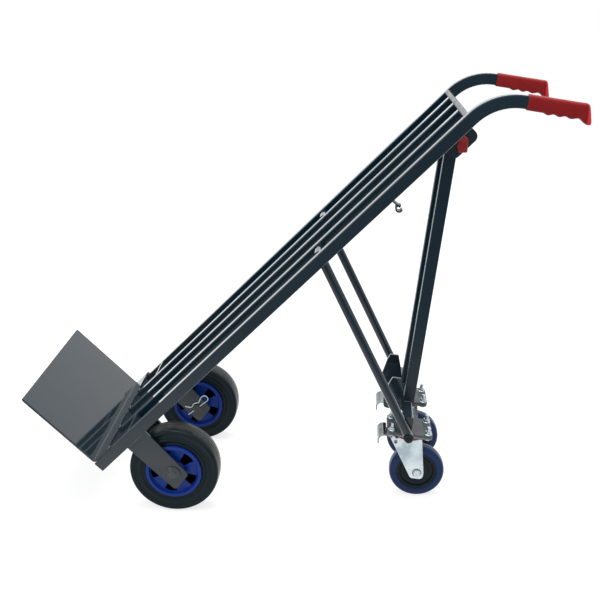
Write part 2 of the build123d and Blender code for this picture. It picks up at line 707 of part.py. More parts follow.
END_MID = BEAM_HALF_L + BEAM_END_T / 2
with BuildPart() as beam_ends:
    for way in (-1, 1):
        with BuildSketch(upright(way * END_MID)):
            with Locations((BEAM_X, (BEAM_LOW + BEAM_TOP) / 2)):
                RectangleRounded(BEAM_W, BEAM_H, BEAM_WALL)
            with Locations((STAND_X, STAND_Z)):
                Circle(EYE_R + 1)
                Circle(STRUT_PIN_R + RUN_FIT, mode=Mode.SUBTRACT)
        extrude(amount=BEAM_END_T / 2, both=True)
save_stood(beam_ends, "beam_ends")

BEAM_FACE = BEAM_HALF_L + BEAM_END_T
STUD_STEP = STRUT_Y - LOW_EYE_LEN / 2 - SEAT_GAP
STUD_TIP = STRUT_Y + LOW_EYE_LEN / 2 + SEAT_GAP
with BuildPart() as strut_studs:
    for way in (-1, 1):
        with BuildSketch(across(STAND_X, 0, STAND_Z)):
            with BuildLine():
                Polyline(
                    (way * BEAM_HALF_L, 0),
                    (way * BEAM_HALF_L, STRUT_PIN_R),
                    (way * BEAM_FACE, STRUT_PIN_R),
                    (way * BEAM_FACE, STUD_SHOULDER_R),
                    (way * STUD_STEP, STUD_SHOULDER_R),
                    (way * STUD_STEP, STRUT_PIN_R),
                    (way * (STUD_TIP + DOME_T - 4), STRUT_PIN_R),
                    (way * (STUD_TIP + DOME_T - 4), 0),
                    close=True,
                )
            make_face()
        revolve(axis=cross_axis(STAND_X, STAND_Z))
save(strut_studs, "strut_studs")

with BuildPart() as stud_nuts:
    for way in (-1, 1):
        with BuildSketch(across(STAND_X, 0, STAND_Z)):
            with BuildLine():
                Polyline(
                    (way * STUD_TIP, STRUT_PIN_R + RUN_FIT),
                    (way * STUD_TIP, NUT_DOME_R),
                    (way * (STUD_TIP + DOME_T - 4), NUT_DOME_R),
                    (way * (STUD_TIP + DOME_T - 1.2), NUT_DOME_R - 2.5),
                    (way * (STUD_TIP + DOME_T), NUT_DOME_R - 6),
                    (way * (STUD_TIP + DOME_T), 0),
                    (way * (STUD_TIP + DOME_T - 4 + RUN_FIT), 0),
                    (way * (STUD_TIP + DOME_T - 4 + RUN_FIT), STRUT_PIN_R + RUN_FIT),
                    close=True,
                )
            make_face()
        revolve(axis=cross_axis(STAND_X, STAND_Z))
save(stud_nuts, "stud_nuts")

BEAM_FRONT = BEAM_X - BEAM_W / 2
EAR_OUTLINE = (
    (BEAM_FRONT, BEAM_LOW + 0.27 * EAR_H),
    (BEAM_FRONT - 0.94 * EAR_DEEP, BEAM_LOW + 0.29 * EAR_H),
    (BEAM_FRONT - EAR_DEEP, BEAM_LOW + 0.52 * EAR_H),
    (BEAM_FRONT - 0.83 * EAR_DEEP, BEAM_LOW + 0.86 * EAR_H),
    (BEAM_FRONT - 0.69 * EAR_DEEP, BEAM_LOW + EAR_H),
    (BEAM_FRONT - 0.22 * EAR_DEEP, BEAM_LOW + EAR_H),
    (BEAM_FRONT, BEAM_LOW + 0.72 * EAR_H),
    (BEAM_FRONT + 0.17 * EAR_DEEP, BEAM_TOP),
    (BEAM_FRONT, BEAM_TOP),
)
with BuildPart() as beam_ears:
    for way in (-1, 1):
        with BuildSketch(upright(way * EAR_Y)):
            with BuildLine():
                Polyline(*EAR_OUTLINE, close=True)
            face = make_face()
            fillet(face.vertices().sort_by(Axis.X)[:2], 9)
        extrude(amount=EAR_T / 2, both=True)
save_stood(beam_ears, "beam_ears")

# Mount plate under the beam: one sheet with a wide pad over each castor
HOLES = [(sx * BOLT_X / 2, sy * BOLT_Y / 2) for sx in (-1, 1) for sy in (-1, 1)]
with BuildPart() as mount_plate:
    with BuildSketch(Plane.XY.offset(MOUNT_LOW)):
        with Locations((BEAM_X + 6, 0)):
            Rectangle(BEAM_W + 12, 2 * CASTOR_Y)
        with Locations((SWIVEL_X, -CASTOR_Y), (SWIVEL_X, CASTOR_Y)):
            RectangleRounded(MOUNT_X, MOUNT_Y, MOUNT_ROUND)
            with Locations(*HOLES):
                Circle(BOLT_R + BOLT_PLAY, mode=Mode.SUBTRACT)
    extrude(amount=MOUNT_T)
save_stood(mount_plate, "mount_plate")

# Castor top plates with their swivel race and king pin
with BuildPart() as castor_plates:
    for way in (-1, 1):
        with BuildSketch(Plane.XY.offset(CASTOR_PLATE_LOW)):
            with Locations((SWIVEL_X, way * CASTOR_Y)):
                RectangleRounded(MOUNT_X, MOUNT_Y, MOUNT_ROUND)
                with Locations(*HOLES):
                    Circle(BOLT_R + BOLT_PLAY, mode=Mode.SUBTRACT)
        extrude(amount=CASTOR_PLATE_T)
        with BuildSketch(Plane.XY.offset(CASTOR_PLATE_LOW - RACE_H)):
            with Locations((SWIVEL_X, way * CASTOR_Y)):
                Circle(RACE_R)
        extrude(amount=RACE_H)
        with BuildSketch(Plane.XY.offset(CROWN_TOP - CROWN_T - 3)):
            with Locations((SWIVEL_X, way * CASTOR_Y)):
                Circle(KINGPIN_R)
        extrude(amount=CROWN_T + 3 + CASTOR_PLATE_LOW - RACE_H - CROWN_TOP)
        with BuildSketch(Plane.XY.offset(CROWN_TOP - CROWN_T - 6)):
            with Locations((SWIVEL_X, way * CASTOR_Y)):
                Circle(KINGPIN_R + 4)
        extrude(amount=5)
save_stood(castor_plates, "castor_plates")

BOLT_SPOTS = [
    (SWIVEL_X + hx, way * CASTOR_Y + hy) for way in (-1, 1) for hx, hy in HOLES
]
with BuildPart() as castor_bolts:
    with BuildSketch(Plane.XY.offset(CASTOR_PLATE_LOW - BOLT_HEAD_H)):
        with Locations(*BOLT_SPOTS):
            RegularPolygon(NUT_FLAT_R, 6, major_radius=False)
    extrude(amount=BOLT_HEAD_H)
    with BuildSketch(Plane.XY.offset(CASTOR_PLATE_LOW)):
        with Locations(*BOLT_SPOTS):
            Circle(BOLT_R)
    extrude(amount=BOLT_TOP - CASTOR_PLATE_LOW)
save_stood(castor_bolts, "castor_bolts")

with BuildPart() as castor_nuts:
    with BuildSketch(Plane.XY.offset(MOUNT_TOP)):
        with Locations(*BOLT_SPOTS):
            RegularPolygon(NUT_FLAT_R, 6, major_radius=False)
            Circle(BOLT_R + RUN_FIT, mode=Mode.SUBTRACT)
    extrude(amount=NUT_H)
save_stood(castor_nuts, "castor_nuts")

# Castors: fork, dust ring, axle, wheel and brake pedal on each side
CHEEK_OUTLINE = (
    (SWIVEL_X - 35, CROWN_TOP),
    (SWIVEL_X + CROWN_R, CROWN_TOP),
    (ROLL_X + 15, ROLL_Z + 2),
    (ROLL_X + 15, ROLL_Z - 15),
    (ROLL_X - 13, ROLL_Z - 15),
    (SWIVEL_X - 39, CROWN_TOP - 6),
)
HUB_SECTION = (
    (CHEEK_IN - SEAT_GAP - 0.2, CASTOR_AXLE_R + RUN_FIT),
    (CHEEK_IN - SEAT_GAP - 0.2, 13.0),
    (8.0, 15.0),
    (6.0, 17.0),
    (6.0, 35.0),
    (TREAD_W / 2 - 3, 39.0),
    (TREAD_W / 2 - 1, 41.0),
    (TREAD_W / 2 - 1, TREAD_IN_R),
)
TREAD_SECTION = (
    (TREAD_W / 2 - 1, TREAD_IN_R),
    (TREAD_W / 2, TREAD_IN_R + 1),
    (TREAD_W / 2, CASTOR_R - 7),
    (TREAD_W / 2 - 1.5, CASTOR_R - 3),
    (TREAD_W / 2 - 5, CASTOR_R - 0.8),
    (TREAD_W / 2 - 9, CASTOR_R),
)
HINGE_X = SWIVEL_X + PEDAL_DX
CHEEK_MID = CHEEK_IN + CHEEK_T / 2
for hand, way in SIDES:
    castor_y = way * CASTOR_Y
    with BuildPart() as castor_fork:
        with BuildSketch(Plane.XY.offset(CROWN_TOP - CROWN_T)):
            with Locations((SWIVEL_X, castor_y)):
                Circle(CROWN_R)
            with Locations((SWIVEL_X - 2, castor_y)):
                Rectangle(2 * CROWN_R + 4, 2 * (CHEEK_IN + CHEEK_T))
            with Locations((SWIVEL_X, castor_y)):
                Circle(KINGPIN_R + SEAT_GAP, mode=Mode.SUBTRACT)
        extrude(amount=CROWN_T)
        for flank in (-1, 1):
            with BuildSketch(upright(castor_y + flank * CHEEK_MID)):
                with BuildLine():
                    Polyline(*CHEEK_OUTLINE, close=True)
                face = make_face()
                fillet(face.vertices().sort_by(Axis.Y)[:2], 9)
                with Locations((ROLL_X, ROLL_Z)):
                    Circle(CASTOR_AXLE_R + RUN_FIT, mode=Mode.SUBTRACT)
                with Locations((HINGE_X, PEDAL_Z)):
                    Circle(PEDAL_ROD_R + RUN_FIT, mode=Mode.SUBTRACT)
            extrude(amount=CHEEK_T / 2, both=True)
    save_stood(castor_fork, f"castor_fork_{hand}")
    with BuildPart() as dust_ring:
        with BuildSketch(Plane.XY.offset(CROWN_TOP)):
            with Locations((SWIVEL_X, castor_y)):
                Circle(RING_R)
                Circle(RACE_R + 2 * SEAT_GAP, mode=Mode.SUBTRACT)
        extrude(amount=RING_H)
    save_stood(dust_ring, f"dust_ring_{hand}")
    with BuildPart() as castor_axle:
        with BuildSketch(upright(castor_y)):
            with Locations((ROLL_X, ROLL_Z)):
                Circle(CASTOR_AXLE_R)
        extrude(amount=CHEEK_IN + CHEEK_T + CASTOR_NUT_T, both=True)
        for flank in (-1, 1):
            with BuildSketch(upright(castor_y + flank * (CHEEK_IN + CHEEK_T + CASTOR_NUT_T / 2))):
                with Locations((ROLL_X, ROLL_Z)):
                    RegularPolygon(NUT_FLAT_R + 1, 6, major_radius=False)
            extrude(amount=CASTOR_NUT_T / 2, both=True)
    save_stood(castor_axle, f"castor_axle_{hand}")
    with BuildPart() as castor_hub:
        with BuildSketch(across(ROLL_X, castor_y, ROLL_Z)):
            with BuildLine():
                Polyline(*mirrored(HUB_SECTION), close=True)
            make_face()
        revolve(axis=cross_axis(ROLL_X, ROLL_Z))
    save_stood(castor_hub, f"castor_hub_{hand}")
    with BuildPart() as castor_tread:
        with BuildSketch(across(ROLL_X, castor_y, ROLL_Z)):
            with BuildLine():
                Polyline(*mirrored(TREAD_SECTION), close=True)
            make_face()
        revolve(axis=cross_axis(ROLL_X, ROLL_Z))
    save_stood(castor_tread, f"castor_tread_{hand}")
    top_x = SWIVEL_X + TREAD_DX
    inner_r = TREAD_R - PEDAL_T
    with BuildPart() as brake_pedal:
        with BuildSketch(upright(castor_y)):
            with BuildLine():
                Line((top_x + 5, TREAD_Z + TREAD_R), (top_x, TREAD_Z + TREAD_R))
                RadiusArc((top_x, TREAD_Z + TREAD_R), (top_x - TREAD_R, TREAD_Z), -TREAD_R)
                Line((top_x - TREAD_R, TREAD_Z), (top_x - TREAD_R + 1, TREAD_Z - 9))
                Line((top_x - TREAD_R + 1, TREAD_Z - 9), (top_x - inner_r + 1, TREAD_Z - 9))
                Line((top_x - inner_r + 1, TREAD_Z - 9), (top_x - inner_r, TREAD_Z))
                RadiusArc((top_x - inner_r, TREAD_Z), (top_x, TREAD_Z + inner_r), inner_r)
                Line((top_x, TREAD_Z + inner_r), (top_x + 5, TREAD_Z + inner_r))
                Line((top_x + 5, TREAD_Z + inner_r), (top_x + 5, TREAD_Z + TREAD_R))
            make_face()
        extrude(amount=PEDAL_W / 2, both=True)
        with BuildSketch(upright(castor_y)):
            with BuildLine():
                Polyline(
                    (top_x + 2, TREAD_Z + TREAD_R - 2),
                    (top_x + 5, TREAD_Z + TREAD_R - 2),
                    (HINGE_X + 2, PEDAL_Z + 3),
                    (HINGE_X - 2, PEDAL_Z - 3),
                    (top_x + 2, TREAD_Z + inner_r - 2),
                    close=True,
                )
            make_face()
            with Locations((HINGE_X, PEDAL_Z)):
                Circle(PEDAL_ROD_R + 2)
        extrude(amount=PEDAL_ARM_W / 2, both=True)
        with BuildSketch(upright(castor_y)):
            with Locations((HINGE_X, PEDAL_Z)):
                Circle(PEDAL_ROD_R)
        extrude(amount=CHEEK_IN + CHEEK_T + 2, both=True)
    save_stood(brake_pedal, f"brake_pedal_{hand}")

# Latch bracket behind the top of the bars: base with two saddles, and two cheeks
with BuildPart() as latch_base:
    with BuildSketch(side(0)):
        with Locations(((LATCH_U0 + LATCH_U1) / 2, -TUBE_D - LATCH_BASE_T / 2)):
            Rectangle(LATCH_U1 - LATCH_U0, LATCH_BASE_T)
    extrude(amount=BAY_IN, both=True)
    for way in (-1, 1):
        with BuildSketch(side(way * SADDLE_Y)):
            with BuildLine():
                Polyline(
                    (BAR_U - 8, BASE_N + 1),
                    (LEVER_U + 9, BASE_N + 1),
                    (LEVER_U + 9, LEVER_N - 12),
                    (BAR_U + 26, BAR_N - 16),
                    (BAR_U + 10, BAR_N - 13),
                    (BAR_U, BAR_N),
                    (BAR_U - 8, BAR_N + 10),
                    close=True,
                )
            make_face()
            with Locations((BAR_U, BAR_N)):
                Circle(BAR_R + SADDLE_PLAY, mode=Mode.SUBTRACT)
            with Locations((LEVER_U, LEVER_N)):
                Circle(LEVER_PIN_R + RUN_FIT, mode=Mode.SUBTRACT)
        extrude(amount=SADDLE_T / 2, both=True)
save(latch_base, "latch_base")

with BuildPart() as latch_cheeks:
    for way in (-1, 1):
        with BuildSketch(side(way * CHEEK_PLATE_Y)):
            with BuildLine():
                Polyline(
                    (LATCH_U0, BASE_N),
                    (LATCH_U0, LATCH_REAR_N),
                    (LATCH_U1, LATCH_REAR_N),
                    (LATCH_U1, BASE_N),
                    close=True,
                )
            face = make_face()
            fillet(face.vertices().sort_by(Axis.Y)[:2], LATCH_ROUND)
            with Locations((LEVER_U, LEVER_N)):
                Circle(LEVER_PIN_R + RUN_FIT, mode=Mode.SUBTRACT)
        extrude(amount=CHEEK_PLATE_T / 2, both=True)
save(latch_cheeks, "latch_cheeks")

# Latch lever: pivot pin, hook between the saddles, arm and red cap outside the left cheek
CHEEK_FACE = CHEEK_PLATE_Y + CHEEK_PLATE_T / 2
with BuildPart() as lever_pin:
    with BuildSketch(side((LEVER_Y - LEVER_T / 2 + CHEEK_FACE + SEAT_GAP) / 2)):
        with Locations((LEVER_U, LEVER_N)):
            Circle(LEVER_PIN_R)
    extrude(amount=(CHEEK_FACE + SEAT_GAP - LEVER_Y + LEVER_T / 2) / 2, both=True)
    with BuildSketch(side(CHEEK_FACE + SEAT_GAP + 2)):
        with Locations((LEVER_U, LEVER_N)):
            Circle(LEVER_PIN_R + 3)
    extrude(amount=2, both=True)
save(lever_pin, "lever_pin")


def opened(u, n):
    """Frame point of the hook turned open about the lever pin."""
    du = u - LEVER_U
    dn = n - LEVER_N
    turn = radians(HOOK_OPEN)
    return (LEVER_U + du * cos(turn) - dn * sin(turn), LEVER_N + du * sin(turn) + dn * cos(turn))


HOOK_IN = BAR_R + 2 * SADDLE_PLAY
with BuildPart() as latch_hook:
    with BuildSketch(side(0)):
        with BuildLine():
            Polyline(
                opened(LEVER_U + 3, LEVER_N - 6),
                opened(BAR_U + 12, BAR_N - HOOK_IN - HOOK_WALL),
                opened(BAR_U - HOOK_IN - HOOK_WALL, BAR_N - HOOK_IN - HOOK_WALL),
                opened(BAR_U - HOOK_IN - HOOK_WALL, BAR_N - 1),
                opened(BAR_U - HOOK_IN, BAR_N - 1),
                opened(BAR_U - HOOK_IN + 3, BAR_N - HOOK_IN),
                opened(BAR_U + HOOK_IN + 1, BAR_N - HOOK_IN),
                opened(LEVER_U - 7, LEVER_N),
                close=True,
            )
        make_face()
        with Locations((LEVER_U, LEVER_N)):
            Circle(LEVER_HUB_R)
            Circle(LEVER_PIN_R + RUN_FIT, mode=Mode.SUBTRACT)
    extrude(amount=HOOK_T / 2, both=True)
save(latch_hook, "latch_hook")

CAP_MID_X = LEVER_X + CAP_DX
CAP_MID_Z = LEVER_Z + CAP_DZ
LEAN = degrees(atan2(CAP_DX, -CAP_DZ))
ARM_LEN = hypot(CAP_DX, CAP_DZ) + 8
ARM_MID = ARM_LEN / 2 / hypot(CAP_DX, CAP_DZ)
ARM_SPOT = Location((LEVER_X + ARM_MID * CAP_DX, LEVER_Z + ARM_MID * CAP_DZ, 0), (0, 0, LEAN))
with BuildPart() as lever_arm:
    with BuildSketch(upright(LEVER_Y)):
        with Locations((LEVER_X, LEVER_Z)):
            Circle(LEVER_HUB_R)
        with Locations(ARM_SPOT):
            Rectangle(2 * LEVER_HUB_R - 2, ARM_LEN)
        with Locations((LEVER_X, LEVER_Z)):
            Circle(LEVER_PIN_R + RUN_FIT, mode=Mode.SUBTRACT)
    extrude(amount=LEVER_T / 2, both=True)
save(lever_arm, "lever_arm")

CAP_IN_Y = -CHEEK_FACE - 2 * SEAT_GAP
with BuildPart() as lever_cap:
    with BuildSketch(upright(CAP_IN_Y - CAP_T / 2)):
        with Locations(Location((CAP_MID_X, CAP_MID_Z, 0), (0, 0, LEAN / 2))):
            RectangleRounded(CAP_X, CAP_Z, 6)
    extrude(amount=CAP_T / 2, both=True)
    outer_face = lever_cap.faces().sort_by(Axis.Y)[0]
    fillet(outer_face.edges(), 3)
    with BuildSketch(upright(LEVER_Y)):
        with Locations((LEVER_X, LEVER_Z)):
            Circle(LEVER_HUB_R + CAP_PLAY)
        with Locations(ARM_SPOT):
            Rectangle(2 * (LEVER_HUB_R - 1 + CAP_PLAY), ARM_LEN + 2 * CAP_PLAY)
    extrude(amount=LEVER_T / 2 + CAP_PLAY, both=True, mode=Mode.SUBTRACT)
save(lever_cap, "lever_cap")

# Keeper strip on the middle bar, where the latch bar comes to rest when the stand is folded
STRIP_U = STOW_U - BAR_R - 1.0
with BuildPart() as stow_keeper:
    with BuildSketch(side(0)):
        with BuildLine():
            Polyline(
                (STRIP_U, -TUBE_D - STRIP_T),
                (STRIP_U, STOW_N - BAR_R - 4),
                (STRIP_U - STRIP_T, STOW_N - BAR_R - 4),
                (STRIP_U - STRIP_T, -TUBE_D - STRIP_T - 4),
                (STRIP_U - STRIP_T - 4, -TUBE_D - STRIP_T),
                (STRIP_U - STRIP_FOOT, -TUBE_D - STRIP_T),
                (STRIP_U - STRIP_FOOT, -TUBE_D),
                (STRIP_U, -TUBE_D),
                close=True,
            )
        make_face()
        with Locations((STRIP_U - STRIP_CURL, STOW_N - BAR_R - 4)):
            Circle(STRIP_CURL)
            Circle(STRIP_CURL - STRIP_T + 0.5, mode=Mode.SUBTRACT)
    extrude(amount=STRIP_W / 2, both=True)
save(stow_keeper, "stow_keeper")
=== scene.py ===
"""Looks of the sack truck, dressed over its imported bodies.

Metres, +Z up. X runs from the toe plate to the handles, Y across the truck, and left is -Y. Pieces of
the slanted frame are placed in its own axes: u up the side tubes, n out of the load side.
"""
import logging
import math
from dataclasses import dataclass, field
from enum import Enum
from typing import Iterable, Sequence

import bmesh
import bpy
from mathutils import Matrix, Vector


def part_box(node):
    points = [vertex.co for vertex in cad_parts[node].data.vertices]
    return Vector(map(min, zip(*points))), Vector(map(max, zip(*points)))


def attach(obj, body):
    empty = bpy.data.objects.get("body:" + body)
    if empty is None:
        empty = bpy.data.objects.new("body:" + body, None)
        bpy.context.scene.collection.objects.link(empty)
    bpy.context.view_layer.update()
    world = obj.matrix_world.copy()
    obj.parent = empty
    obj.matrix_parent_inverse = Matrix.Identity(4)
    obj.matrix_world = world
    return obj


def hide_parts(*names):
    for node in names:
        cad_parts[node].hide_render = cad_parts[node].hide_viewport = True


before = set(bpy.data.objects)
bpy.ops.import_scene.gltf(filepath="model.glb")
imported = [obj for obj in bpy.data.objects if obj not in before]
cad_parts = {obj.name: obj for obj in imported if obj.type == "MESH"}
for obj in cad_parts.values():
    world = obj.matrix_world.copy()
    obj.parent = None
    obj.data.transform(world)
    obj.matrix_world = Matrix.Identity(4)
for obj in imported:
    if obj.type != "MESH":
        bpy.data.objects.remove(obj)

LOG = logging.getLogger("sack_truck")
MM = 0.001
Colour = tuple[float, float, float]
Point = tuple[float, float]
Profile = tuple[Point, ...]
Socket = bpy.types.NodeSocket
Material = bpy.types.Material
Mesh = bmesh.types.BMesh
Corner = bmesh.types.BMVert
SIDES = (-1, 1)


class Slot(Enum):
    """Material slots of the record."""

    PAINT = "frame_paint"
    ZINC = "zinc"
    TYRE = "tyre_black"
    TREAD = "tread_blue"
    HUB = "hub_black"
    GRIP = "grip_red"


class Hand(Enum):
    """The truck's two sides."""

    LEFT = -1
    RIGHT = 1

    @property
    def word(self) -> str:
        """Name used in nodes and bodies."""
        return self.name.lower()


@dataclass(frozen=True)
class SlantedAxes:
    """The ladder frame's own axes."""

    origin_x: float = -418.254 * MM
    origin_z: float = 120.506 * MM
    tilt: float = math.radians(45.0)

    def at(self, u: float, y: float, n: float) -> Vector:
        """World point of a place in the slanted axes.

        Args:
            u: distance up the side tubes, millimetres.
            y: distance across the truck, millimetres.
            n: height above the front faces of the tubes, millimetres.

        Returns:
            The point in metres.
        """
        c, s = math.cos(self.tilt), math.sin(self.tilt)
        return Vector((
            self.origin_x + (c * u - s * n) * MM,
            y * MM,
            self.origin_z + (s * u + c * n) * MM,
        ))

    @property
    def up(self) -> Vector:
        """Direction up the tubes."""
        return Vector((math.cos(self.tilt), 0, math.sin(self.tilt)))


@dataclass(frozen=True)
class LeaningFoot:
    """The stand's foot: sized on a level drawing, then leaned with the legs about the stand hinge."""

    hinge_x: float = 267.573
    hinge_z: float = 179.0
    lean: float = math.radians(6.3429)

    def at(self, x: float, y: float, z: float) -> Vector:
        """World point of a place on the level drawing.

        Args:
            x: distance along the truck, millimetres.
            y: distance across the truck, millimetres.
            z: height, millimetres.

        Returns:
            The point in metres.
        """
        c, s = math.cos(self.lean), math.sin(self.lean)
        dx, dz = x - self.hinge_x, z - self.hinge_z
        return Vector((self.hinge_x + dx * c + dz * s, y, self.hinge_z - dx * s + dz * c)) * MM

    @property
    def up(self) -> Vector:
        """Direction up the legs."""
        return Vector((math.sin(self.lean), 0, math.cos(self.lean)))


AXES = SlantedAxes()
FOOT = LeaningFoot()
ACROSS = Vector((0, 1, 0))


def middle(node: str) -> Vector:
    """Centre of a CAD node's box."""
    low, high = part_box(node)
    return (low + high) / 2


@dataclass(frozen=True)
class Grain:
    """A noise pattern: features per metre, octaves, its hollows and peaks, and how far it is pulled about."""

    scale: float
    detail: float
    contrast: Point = (0.3, 0.7)
    distortion: float = 0.0


class NodeKit:
    """Adds nodes to a tree and wires them."""

    def __init__(self, tree: bpy.types.NodeTree) -> None:
        """Work on this tree."""
        self.tree = tree
        self._coords: Socket | None = None

    def add(self, kind: str) -> bpy.types.Node:
        """Add a node."""
        return self.tree.nodes.new(kind)

    def link(self, source: Socket, target: Socket) -> None:
        """Wire one socket to another."""
        self.tree.links.new(source, target)

    @property
    def coords(self) -> Socket:
        """The object's own coordinates.

        Returns:
            The coordinates socket.
        """
        if self._coords is None:
            self._coords = self.add("ShaderNodeTexCoord").outputs["Object"]
        return self._coords

    def along(self, axis: str) -> Socket:
        """One of the object's own coordinates.

        Args:
            axis: X, Y or Z.

        Returns:
            The value socket.
        """
        node = self.add("ShaderNodeSeparateXYZ")
        self.link(self.coords, node.inputs["Vector"])
        return node.outputs[axis]

    def span(self, value: Socket, start: float, end: float, low: float, high: float) -> Socket:
        """Map a value from start..end to low..high, clamped.

        Args:
            value: what is mapped.
            start: value that gives low.
            end: value that gives high.
            low: first level.
            high: second level.

        Returns:
            The value socket.
        """
        node = self.add("ShaderNodeMapRange")
        for name, number in (("From Min", start), ("From Max", end), ("To Min", low), ("To Max", high)):
            node.inputs[name].default_value = number
        self.link(value, node.inputs["Value"])
        return node.outputs["Result"]

    def math(self, operation: str, first: Socket, second: Socket | float) -> Socket:
        """Combine two values.

        Args:
            operation: name of the sum.
            first: a value.
            second: another value, or a number.

        Returns:
            The value socket.
        """
        node = self.add("ShaderNodeMath")
        node.operation = operation
        self.link(first, node.inputs[0])
        if isinstance(second, (int, float)):
            node.inputs[1].default_value = second
        else:
            self.link(second, node.inputs[1])
        return node.outputs["Value"]

    def ray(self, kind: str) -> Socket:
        """1 for rays of a kind, 0 for the others."""
        return self.add("ShaderNodeLightPath").outputs[kind]

    def seen(self) -> Socket:
        """1 for camera, glossy and transmission rays, 0 for the light that falls on things."""
        direct = self.math("MAXIMUM", self.ray("Is Camera Ray"), self.ray("Is Glossy Ray"))
        return self.math("MAXIMUM", direct, self.ray("Is Transmission Ray"))


class NodeSketch(NodeKit):
    """A material whose nodes feed one principled shader."""

    FLAT = 0.995
    SHARP = 0.86
    EDGE_SAMPLES = 6
    MIX_COLOURS = (6, 7)
    MIX_RESULT = 2

    def __init__(self, name: str) -> None:
        """Start an empty material of this name.

        Args:
            name: of the material.
        """
        self.material = bpy.data.materials.new(name)
        self.material.use_nodes = True
        super().__init__(self.material.node_tree)
        self.tree.nodes.clear()
        output = self.add("ShaderNodeOutputMaterial")
        self.shader = self.add("ShaderNodeBsdfPrincipled")
        self.link(self.shader.outputs["BSDF"], output.inputs["Surface"])

    def mapped(self, move: Sequence[float] = (0, 0, 0), scale: Sequence[float] = (1, 1, 1)) -> Socket:
        """Object coordinates, scaled and then moved.

        Args:
            move: shift in metres.
            scale: stretch along each axis.

        Returns:
            The coordinates socket.
        """
        node = self.add("ShaderNodeMapping")
        node.inputs["Location"].default_value = move
        node.inputs["Scale"].default_value = scale
        self.link(self.coords, node.inputs["Vector"])
        return node.outputs["Vector"]

    def noise(self, grain: Grain, source: Socket | None = None) -> Socket:
        """Noise value from 0 to 1.

        Args:
            grain: the pattern.
            source: coordinates, the object's own where none are given.

        Returns:
            The noise factor socket.
        """
        node = self.add("ShaderNodeTexNoise")
        node.inputs["Scale"].default_value = grain.scale
        node.inputs["Detail"].default_value = grain.detail
        node.inputs["Distortion"].default_value = grain.distortion
        self.link(source or self.coords, node.inputs["Vector"])
        return node.outputs["Fac"]

    def patches(self, grain: Grain, levels: Point) -> Socket:
        """Noise drawn out from one level in its hollows to another on its peaks."""
        return self.span(self.noise(grain), *grain.contrast, *levels)

    def cells(self, scale: float) -> Socket:
        """Random value for each cell of a cell pattern.

        Args:
            scale: cells per metre.

        Returns:
            The value socket.
        """
        node = self.add("ShaderNodeTexVoronoi")
        node.inputs["Scale"].default_value = scale
        self.link(self.coords, node.inputs["Vector"])
        split = self.add("ShaderNodeSeparateColor")
        self.link(node.outputs["Color"], split.inputs["Color"])
        return split.outputs["Red"]

    def mix(self, factor: Socket, first: Colour | Socket, second: Colour | Socket) -> Socket:
        """Blend two colours by a factor.

        Args:
            factor: 0 for the first colour, 1 for the second.
            first: a colour, or a socket that gives one.
            second: a colour, or a socket that gives one.

        Returns:
            The colour socket.
        """
        node = self.add("ShaderNodeMix")
        node.data_type = "RGBA"
        self.link(factor, node.inputs[0])
        for place, colour in zip(self.MIX_COLOURS, (first, second)):
            if isinstance(colour, tuple):
                node.inputs[place].default_value = (*colour, 1.0)
            else:
                self.link(colour, node.inputs[place])
        return node.outputs[self.MIX_RESULT]

    def measure(self, operation: str, first: Socket, second: Socket | Vector | None = None) -> Socket:
        """Number from one vector, or from two set against each other.

        Args:
            operation: name of the sum.
            first: a vector.
            second: another vector, where the sum takes two.

        Returns:
            The value socket.
        """
        node = self.add("ShaderNodeVectorMath")
        node.operation = operation
        self.link(first, node.inputs[0])
        if isinstance(second, Vector):
            node.inputs[1].default_value = second
        elif second is not None:
            self.link(second, node.inputs[1])
        return node.outputs["Value"]

    def rounded(self, radius: float) -> Socket:
        """Normal with small rounded edges.

        Args:
            radius: of the edges, metres.

        Returns:
            The normal socket.
        """
        node = self.add("ShaderNodeBevel")
        node.samples = self.EDGE_SAMPLES
        node.inputs["Radius"].default_value = radius
        return node.outputs["Normal"]

    def edges(self, radius: float) -> Socket:
        """Mask that is 1 on sharp edges and 0 on flats.

        Args:
            radius: width of the mask, metres.

        Returns:
            The value socket.
        """
        normal = self.add("ShaderNodeNewGeometry").outputs["Normal"]
        turn = self.measure("DOT_PRODUCT", self.rounded(radius), normal)
        return self.span(turn, self.FLAT, self.SHARP, 0.0, 1.0)

    def radius_about(self, centre: Vector) -> Socket:
        """Distance from an axle that runs across the truck."""
        return self.measure("LENGTH", self.mapped((-centre.x, 0, -centre.z), (1, 0, 1)))

    def up_tubes(self) -> Socket:
        """Distance up the frame's side tubes."""
        return self.measure("DOT_PRODUCT", self.mapped(-AXES.at(0, 0, 0)), AXES.up)

    def relief(self, heights: Sequence[tuple[Socket, float]], edge: float = 0.0) -> None:
        """Put bumps on the shader's normal.

        Args:
            heights: height patterns with their depth in metres.
            edge: radius of the rounded edges under the bumps.
        """
        normal = self.rounded(edge) if edge else None
        for height, depth in heights:
            node = self.add("ShaderNodeBump")
            node.inputs["Strength"].default_value = 1.0
            node.inputs["Distance"].default_value = depth
            self.link(height, node.inputs["Height"])
            if normal is not None:
                self.link(normal, node.inputs["Normal"])
            normal = node.outputs["Normal"]
        if normal is not None:
            self.link(normal, self.shader.inputs["Normal"])

    def colour(self, source: Socket) -> None:
        """Wire the base colour."""
        self.link(source, self.shader.inputs["Base Color"])

    def roughness(self, source: Socket) -> None:
        """Wire the roughness."""
        self.link(source, self.shader.inputs["Roughness"])

    def fixed(self, name: str, number: float) -> None:
        """Set a number that is the same all over."""
        self.shader.inputs[name].default_value = number


